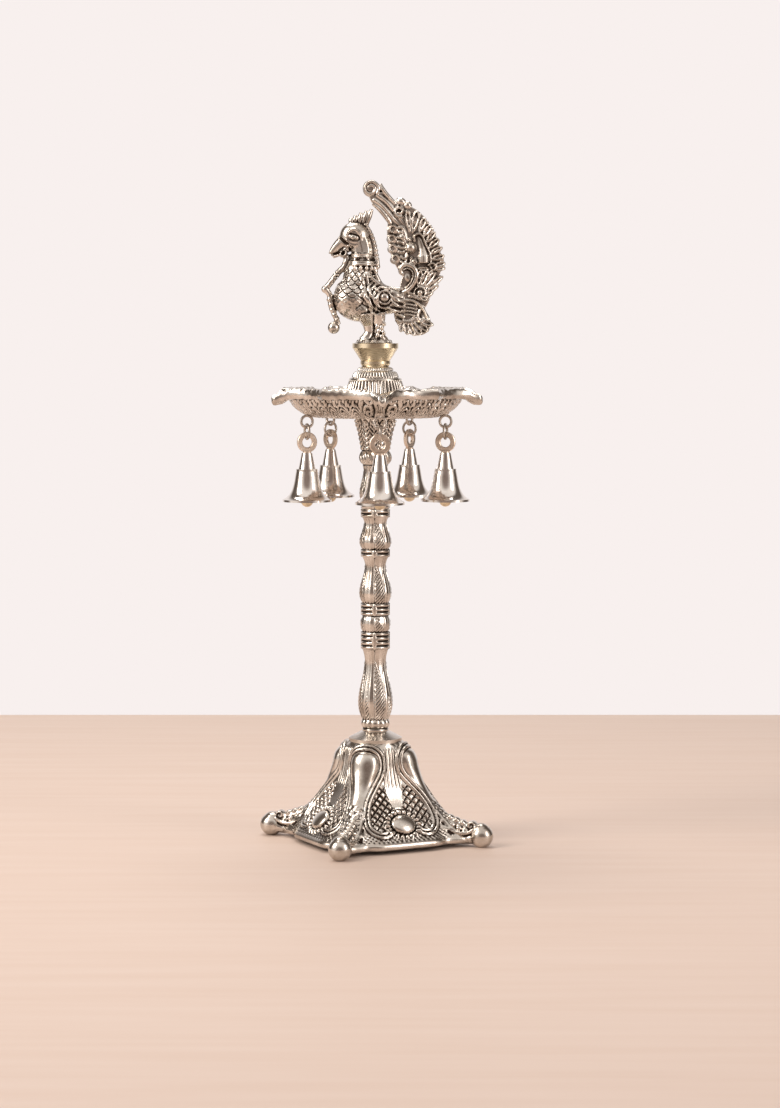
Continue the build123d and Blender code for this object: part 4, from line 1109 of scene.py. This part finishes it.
def carveBird(bird):
    # scales on the breast, barbs on the wings, down on the belly, eyes and beak, pressed into the skin
    look = birdLook
    bossX, bossZ = look["wingBoss"]
    mesh = bird.data
    spots, normals = readPoints(mesh, "co") / mm, readPoints(mesh, "normal")
    x, y, z = spots.T
    around = np.arctan2(y, look["breastAxis"] - x) * look["breastRadius"]
    # each scale lies over the row below and stands up at its lower edge
    tall, wide, gap = look["scale"]
    scale = np.zeros_like(z)
    for step in (1, 2):
        row = np.floor(z / tall) + step
        column = around / wide + 0.5 * (row % 2)
        low = tall * (1 + 0.8 * np.cos(pi * (column - np.round(column)))) - (row * tall - z)
        scale = np.where(low > gap, 1.1 - 0.25 * low, np.where(low > 0, -0.5, scale))
    front = smoothStep(*look["breastFront"], x)
    where = between(look["breastLevels"], z) * smoothStep(*look["breastBack"], x) * front
    lift = look["scaleHigh"] * (scale - 0.5) * where
    # barbs of the folded wing: rings about its boss, then long lines back to the rump
    off = np.hypot(x - bossX, z - bossZ)
    rings = 0.5 - 0.5 * np.cos(2 * pi * off / 2.3)
    level = 0.5 - 0.5 * np.cos(2 * pi * (z + 0.16 * x) / 2.5)
    barbs = np.where(x < 7.5, rings, level) * smoothStep(1.5, 3.5, np.abs(y))
    wing = smoothStep(*look["wingFront"], x) * between(look["wingLevels"], z)
    lift += look["barbHigh"] * (barbs - 0.5) * wing * smoothStep(2.4, 3.4, off)
    # soft down on the belly
    down = np.cos(2 * pi * around / 2.6) * np.cos(2 * pi * z / 2.8)
    belly = between(look["bellyLevels"], z) * smoothStep(*look["bellyBack"], x)
    lift += look["downHigh"] * down * belly * front
    slash = nearest(spots[:, [0, 2]], throughPoints(((-18.4, 55.0), (-16.4, 53.0), (-14.6, 51.8)), 6))
    lift -= 0.9 * roundTop(slash, 0.9) * (np.abs(y) > 1.2)
    eyeX, eyeZ = look["eye"]
    socket = np.hypot(0.8 * (x - eyeX), 1.5 * (z - eyeZ + 0.2 * (x - eyeX)))
    lift -= 0.32 * roundTop(np.abs(socket - 2.6), 0.8) * (np.abs(y) > 2)
    mouth = nearest(spots[:, [0, 2]], throughPoints(((-24.4, 46.4), (-21.0, 46.9), (-18.8, 47.6)), 10))
    lift -= 0.6 * roundTop(mouth, 0.6)
    spots += normals * lift[:, None]
    mesh.vertices.foreach_set("co", (spots * mm).ravel())
    mesh.update()


def makeBird():
    look = birdLook
    deselectAll()
    parts = [addBlob((cx, 0, cz), half, segments=32) for (cx, cz), half in look["body"]]

    def rope(points, radii, deep=0.9, steps=6):
        parts.append(addRope([(x, 0, z) for x, z in points], radii, deep, steps))

    def pair(points, radii, lift=0.2, steps=6):
        # the same line laid on both flanks
        for side in (-1, 1):
            spots = [(x, side * max(bodyDepth(x, z) + lift, 0.8), z) for x, z in points]
            parts.append(addRope(spots, radii, 1.0, steps))

    def flank(spot, half, lift=0.0, turn=0.0):
        for side in (-1, 1):
            parts.append(addBlob((spot[0], side * (bodyDepth(*spot) + lift), spot[1]), half, turn))

    # neck, face and beak
    rope(((-9.6, 31.0), (-8.8, 37.2), (-6.9, 45.3), (-7.4, 51.0), (-9.4, 56.0)),
         (8.4, 7.6, 6.0, 6.1, 6.2), 0.9)
    rope(((-13.8, 55.0), (-18.3, 52.2), (-21.7, 49.0), (-23.7, 46.2)), (5.0, 3.2, 2.2, 1.2), 0.85)
    rope(((-15.0, 50.2), (-19.0, 46.9), (-22.2, 44.8)), (3.0, 1.4, 0.5), 0.85)
    rope([(x, z) for x, y, z in spiral((-17.4, 47.2), 60, -260, 2.2, 0.9)], (0.9, 0.9), 4.0, 3)
    # crest feathers
    for low, tip in look["crest"]:
        middle = (0.4 * low[0] + 0.6 * tip[0], 0.4 * low[1] + 0.6 * tip[1])
        rope((low, middle, tip), (1.2, 1.5, 1.0), 1.4)
    # mane down the back of the neck, with a knob at its end
    mane = ((-5.6, 62.0), (-2.9, 57.4), (-0.9, 51.4), (0.2, 44.6), (0.4, 41.4))
    rope(mane, (1.2, 1.5, 1.6, 1.5, 1.2), 1.4)
    for spot in throughPoints([(x, 0, z) for x, z in mane], 3):
        parts.append(addBlob((spot[0] + 0.6, 0, spot[2]), (1.6, 2.6, 0.85), -20, 12))
    parts += [addBlob((0.9, 0, 40.2), (1.8, 2.2, 1.6)), addBlob((0.2, 0, 37.6), (1.3, 1.8, 1.7))]
    # rings round the neck with drops under them
    for height, wide, thick in look["neckRings"]:
        bpy.ops.mesh.primitive_torus_add(major_segments=48, minor_segments=8, major_radius=wide * mm,
                                         minor_radius=thick * mm, location=(-7.2 * mm, 0, height * mm))
        parts.append(bpy.context.object)
    for k in range(14):
        angle = 2 * pi * (k + 0.5) / 14
        parts.append(addBlob((-7.6 + 7.1 * cos(angle), 6.5 * sin(angle), 39.2), (1.1, 1.1, 1.3), 0, 12))
    # strand from the beak to the breast, its knob and the ball at its end
    rope(((-16.3, 47.0), (-14.9, 44.4), (-16.3, 40.2), (-19.8, 36.8), (-23.7, 31.6), (-26.2, 28.6)),
         (1.3, 1.8, 1.8, 1.7, 1.7, 1.7), 1.2)
    rope(((-26.2, 28.4), (-24.0, 25.2), (-23.3, 19.8), (-21.3, 14.6), (-19.2, 9.8)),
         (1.8, 1.6, 1.6, 1.5, 1.3), 1.2)
    parts += [addBlob((-26.4, 0, 28.4), (2.1, 2.3, 2.1)), addBlob((-21.9, 0, 8.2), (3.3, 3.3, 3.3))]
    for x, z in look["strandBeads"]:
        parts.append(addBlob((x, 0, z), (1.75, 2.3, 0.8), 25, 12))
    # eyes with a brow and a lower lid, and the cheek
    flank(look["eye"], (1.7, 0.9, 1.25), 0.3)
    pair(((-15.2, 55.6), (-13.4, 58.6), (-10.6, 59.4), (-8.2, 57.4), (-7.4, 54.0)),
         (0.5, 0.7, 0.7, 0.6, 0.4), 0.1)
    pair(((-15.4, 54.2), (-13.2, 51.8), (-10.2, 51.2), (-7.8, 52.6)), (0.4, 0.6, 0.6, 0.4), 0.1)
    # bright edge at the front of the wing
    pair(((-7.8, 37.0), (-6.9, 33.0), (-6.4, 29.0), (-5.2, 24.6), (-2.6, 20.2), (-1.6, 15.6)),
         (0.8, 1.4, 1.5, 1.5, 1.3, 0.8), 0.1)
    pair(((-4.6, 36.0), (-3.8, 31.0), (-2.6, 26.2), (-0.2, 21.6), (0.8, 17.2)),
         (0.6, 0.9, 0.9, 0.8, 0.5), 0.1)
    # folded wing: a swelling, a boss with a ring, feathers to the rump
    bossX, bossZ = look["wingBoss"]
    flank((bossX, bossZ), (2.2, 1.3, 2.2), 0.7)
    for side in (-1, 1):
        ring = [(bossX + 3.5 * cos(a), side * (bodyDepth(bossX, bossZ) + 0.3), bossZ + 3.3 * sin(a))
                for a in np.linspace(0, 2 * pi, 20)]
        parts.append(addRope(ring, (0.5, 0.5), 1.0, 2))
    for low, middle, tip in look["wingFeathers"]:
        pair((low, middle, tip), (0.7, 1.0, 0.7), 0.5)
    rope(((0.0, 36.0), (3.2, 30.6), (9.4, 28.2), (15.0, 28.6)), (1.4, 1.6, 1.8, 1.5), 1.5)
    rope(((10.0, 22.0), (15.5, 22.5)), (6.2, 5.4), 0.8)
    # legs: a smooth one in front and a feathered one behind, on a mound
    for side in (-1, 1):
        parts.append(addRope(((-4.8, 3.0 * side, 16.0), (-3.4, 2.4 * side, 9.4), (-3.2, 2.3 * side, 5.4),
                              (-5.8, 2.8 * side, 1.0)),
                             (6.2, 3.2, 2.7, 3.4), 1.0, 6))
        parts.append(addRope(((1.2, 3.2 * side, 16.0), (1.9, 2.8 * side, 9.4), (1.6, 2.7 * side, 5.0),
                              (4.2, 3.2 * side, 1.0)),
                             (4.6, 3.0, 2.5, 3.2), 1.0, 6))
        for k, (x, z) in enumerate(look["legFeathers"]):
            parts.append(addBlob((x, 5.4 * side, z), (1.0, 0.9, 1.5), 30 if k % 2 else -20, 12))
    parts.append(addRope(((-1.0, 0, 15.0), (-1.0, 0, 6.4), (-0.8, 0, 3.0), (-0.6, 0, 1.2), (-0.6, 0, 0.2)),
                         (3.4, 3.4, 5.4, 8.6, 10.8), 0.95, 6))
    for k in range(12):
        angle = 2 * pi * k / 12
        parts.append(addBlob((-0.6 + 7.6 * cos(angle), 7.0 * sin(angle), 1.0), (2.0, 2.0, 1.2), 0, 12))
    bird = fuse("peacockBird", parts, look["voxel"], look["soften"])
    carveBird(bird)
    cutBelow(bird)
    bird.data.transform(Matrix.Translation((0, 0, look["seat"] * mm)))
    markHollows(bird, *look["hollow"])
    handOver(bird, castSilver, "cast_silver", "peacock")


makeBird()


# table, light and camera
tableLook = {"wood": "#e2d0c4", "grain": "#d8c1b1", "streaksPerMetre": (6.0, 90.0, 1.0), "rough": 0.55,
             "far": 0.484, "near": -1.6, "half": 1.3}


def makeTable():
    deselectAll()
    bpy.ops.mesh.primitive_plane_add(size=1, location=(0, 0, 0))
    table = bpy.context.object
    table.name = "tableTop"
    depth = tableLook["far"] - tableLook["near"]
    table.data.transform(Matrix.Translation((0, tableLook["near"] + depth / 2, 0))
                         @ Matrix.Diagonal((2 * tableLook["half"], depth, 1, 1)))
    # oiled oak: dull, with long pale streaks along the table
    material, tree, out = newMaterial("paleOiledOak")
    place = addNode(tree, "ShaderNodeTexCoord").outputs["Object"]
    turned = addNode(tree, "ShaderNodeMapping", {"Vector": place, "Scale": tableLook["streaksPerMetre"]})
    grain = addNode(tree, "ShaderNodeTexNoise", {"Vector": turned.outputs[0], "Scale": 1.0, "Detail": 4.0})
    colour = addNode(tree, "ShaderNodeMix", {
        0: grain.outputs["Fac"], 6: hexColor(tableLook["wood"]), 7: hexColor(tableLook["grain"])},
        data_type="RGBA")
    shader = addNode(tree, "ShaderNodeBsdfPrincipled", {
        "Base Color": colour.outputs[2], "Roughness": tableLook["rough"]})
    tree.links.new(shader.outputs[0], out.inputs["Surface"])
    table.data.materials.append(material)


def addSoftLight(name, place, target, size, watts, colour):
    data = bpy.data.lights.new(name, "AREA")
    data.shape = "RECTANGLE"
    data.size, data.size_y = size
    data.energy = watts
    data.color = hexColor(colour)[:3]
    lamp = bpy.data.objects.new(name, data)
    bpy.context.scene.collection.objects.link(lamp)
    lamp.location = place
    lamp.rotation_euler = (Vector(target) - Vector(place)).to_track_quat("-Z", "Y").to_euler()


lightLook = {
    "windowLeft": {"place": (-1.15, -0.5, 0.95), "target": (0, 0, 0.18), "size": (0.6, 1.0), "watts": 14,
                   "colour": "#fff4ea"},
    "fillRight": {"place": (1.0, -0.6, 0.5), "target": (0, 0, 0.16), "size": (0.35, 0.8), "watts": 4,
                  "colour": "#fdf1ea"},
    "topSoft": {"place": (-0.1, 0.35, 1.2), "target": (0, 0.1, 0.2), "size": (0.8, 0.6), "watts": 7,
                "colour": "#fff8f2"},
}
roomLook = {
    "bands": ((-1.0, -1.0, "#8a7a72"), (-0.93, -0.66, "#f4ebe4"), (-0.2, 0.15, "#62574f"),
              (0.55, 0.88, "#f8f0ee")),
    "lit": 0.42, "pale": "#f8f0ee",
}


def makeRoom():
    world = bpy.data.worlds.new("paleRoom")
    world.use_nodes = True
    bpy.context.scene.world = world
    tree = world.node_tree
    tree.nodes.clear()
    out = addNode(tree, "ShaderNodeOutputWorld")
    rays = addNode(tree, "ShaderNodeLightPath")
    direction = addNode(tree, "ShaderNodeTexCoord").outputs["Generated"]
    apart = addNode(tree, "ShaderNodeSeparateXYZ", {0: direction})
    # from the camera's side round to the wall: dim room, bright windows, dark corners, pale wall
    wall = None
    for start, end, colour in roomLook["bands"]:
        if wall is None:
            wall = hexColor(colour)
            continue
        share = addNode(tree, "ShaderNodeMapRange", {
            "Value": apart.outputs["Y"], "From Min": start, "From Max": end},
            interpolation_type="SMOOTHSTEP")
        wall = addNode(tree, "ShaderNodeMix", {0: share.outputs[0], 6: wall, 7: hexColor(colour)},
                       data_type="RGBA").outputs[2]
    # the camera itself sees only the pale wall
    wall = addNode(tree, "ShaderNodeMix", {
        0: rays.outputs["Is Camera Ray"], 6: wall, 7: hexColor(roomLook["pale"])},
        data_type="RGBA").outputs[2]
    seen = addNode(tree, "ShaderNodeMath", {
        0: rays.outputs["Is Camera Ray"], 1: rays.outputs["Is Glossy Ray"]}, operation="MAXIMUM")
    seenThrough = addNode(tree, "ShaderNodeMath", {
        0: seen.outputs[0], 1: rays.outputs["Is Transmission Ray"]}, operation="MAXIMUM")
    pale = addNode(tree, "ShaderNodeBackground", {"Color": wall, "Strength": 1.0})
    dim = addNode(tree, "ShaderNodeBackground",
                  {"Color": hexColor(roomLook["pale"]), "Strength": roomLook["lit"]})
    mixed = addNode(tree, "ShaderNodeMixShader",
                    {0: seenThrough.outputs[0], 1: dim.outputs[0], 2: pale.outputs[0]})
    tree.links.new(mixed.outputs[0], out.inputs["Surface"])


cameraLook = {"distance": 1.470, "height": 0.2732, "pitch": 4.65, "lens": 90.4,
              "sensor": 36.0, "shiftX": 0.0132}


def makeCamera():
    data = bpy.data.cameras.new("photoCamera")
    data.lens = cameraLook["lens"]
    data.sensor_width = cameraLook["sensor"]
    data.shift_x = cameraLook["shiftX"]
    data.clip_start = 0.05
    camera = bpy.data.objects.new("photoCamera", data)
    bpy.context.scene.collection.objects.link(camera)
    camera.location = (0, -cameraLook["distance"], cameraLook["height"])
    camera.rotation_euler = (radians(90 - cameraLook["pitch"]), 0, 0)
    bpy.context.scene.camera = camera


makeTable()
makeRoom()
for lightName, settings in lightLook.items():
    addSoftLight(lightName, **settings)
makeCamera()
bpy.context.scene.view_settings.view_transform = "Standard"
print("stage, lights and camera set")
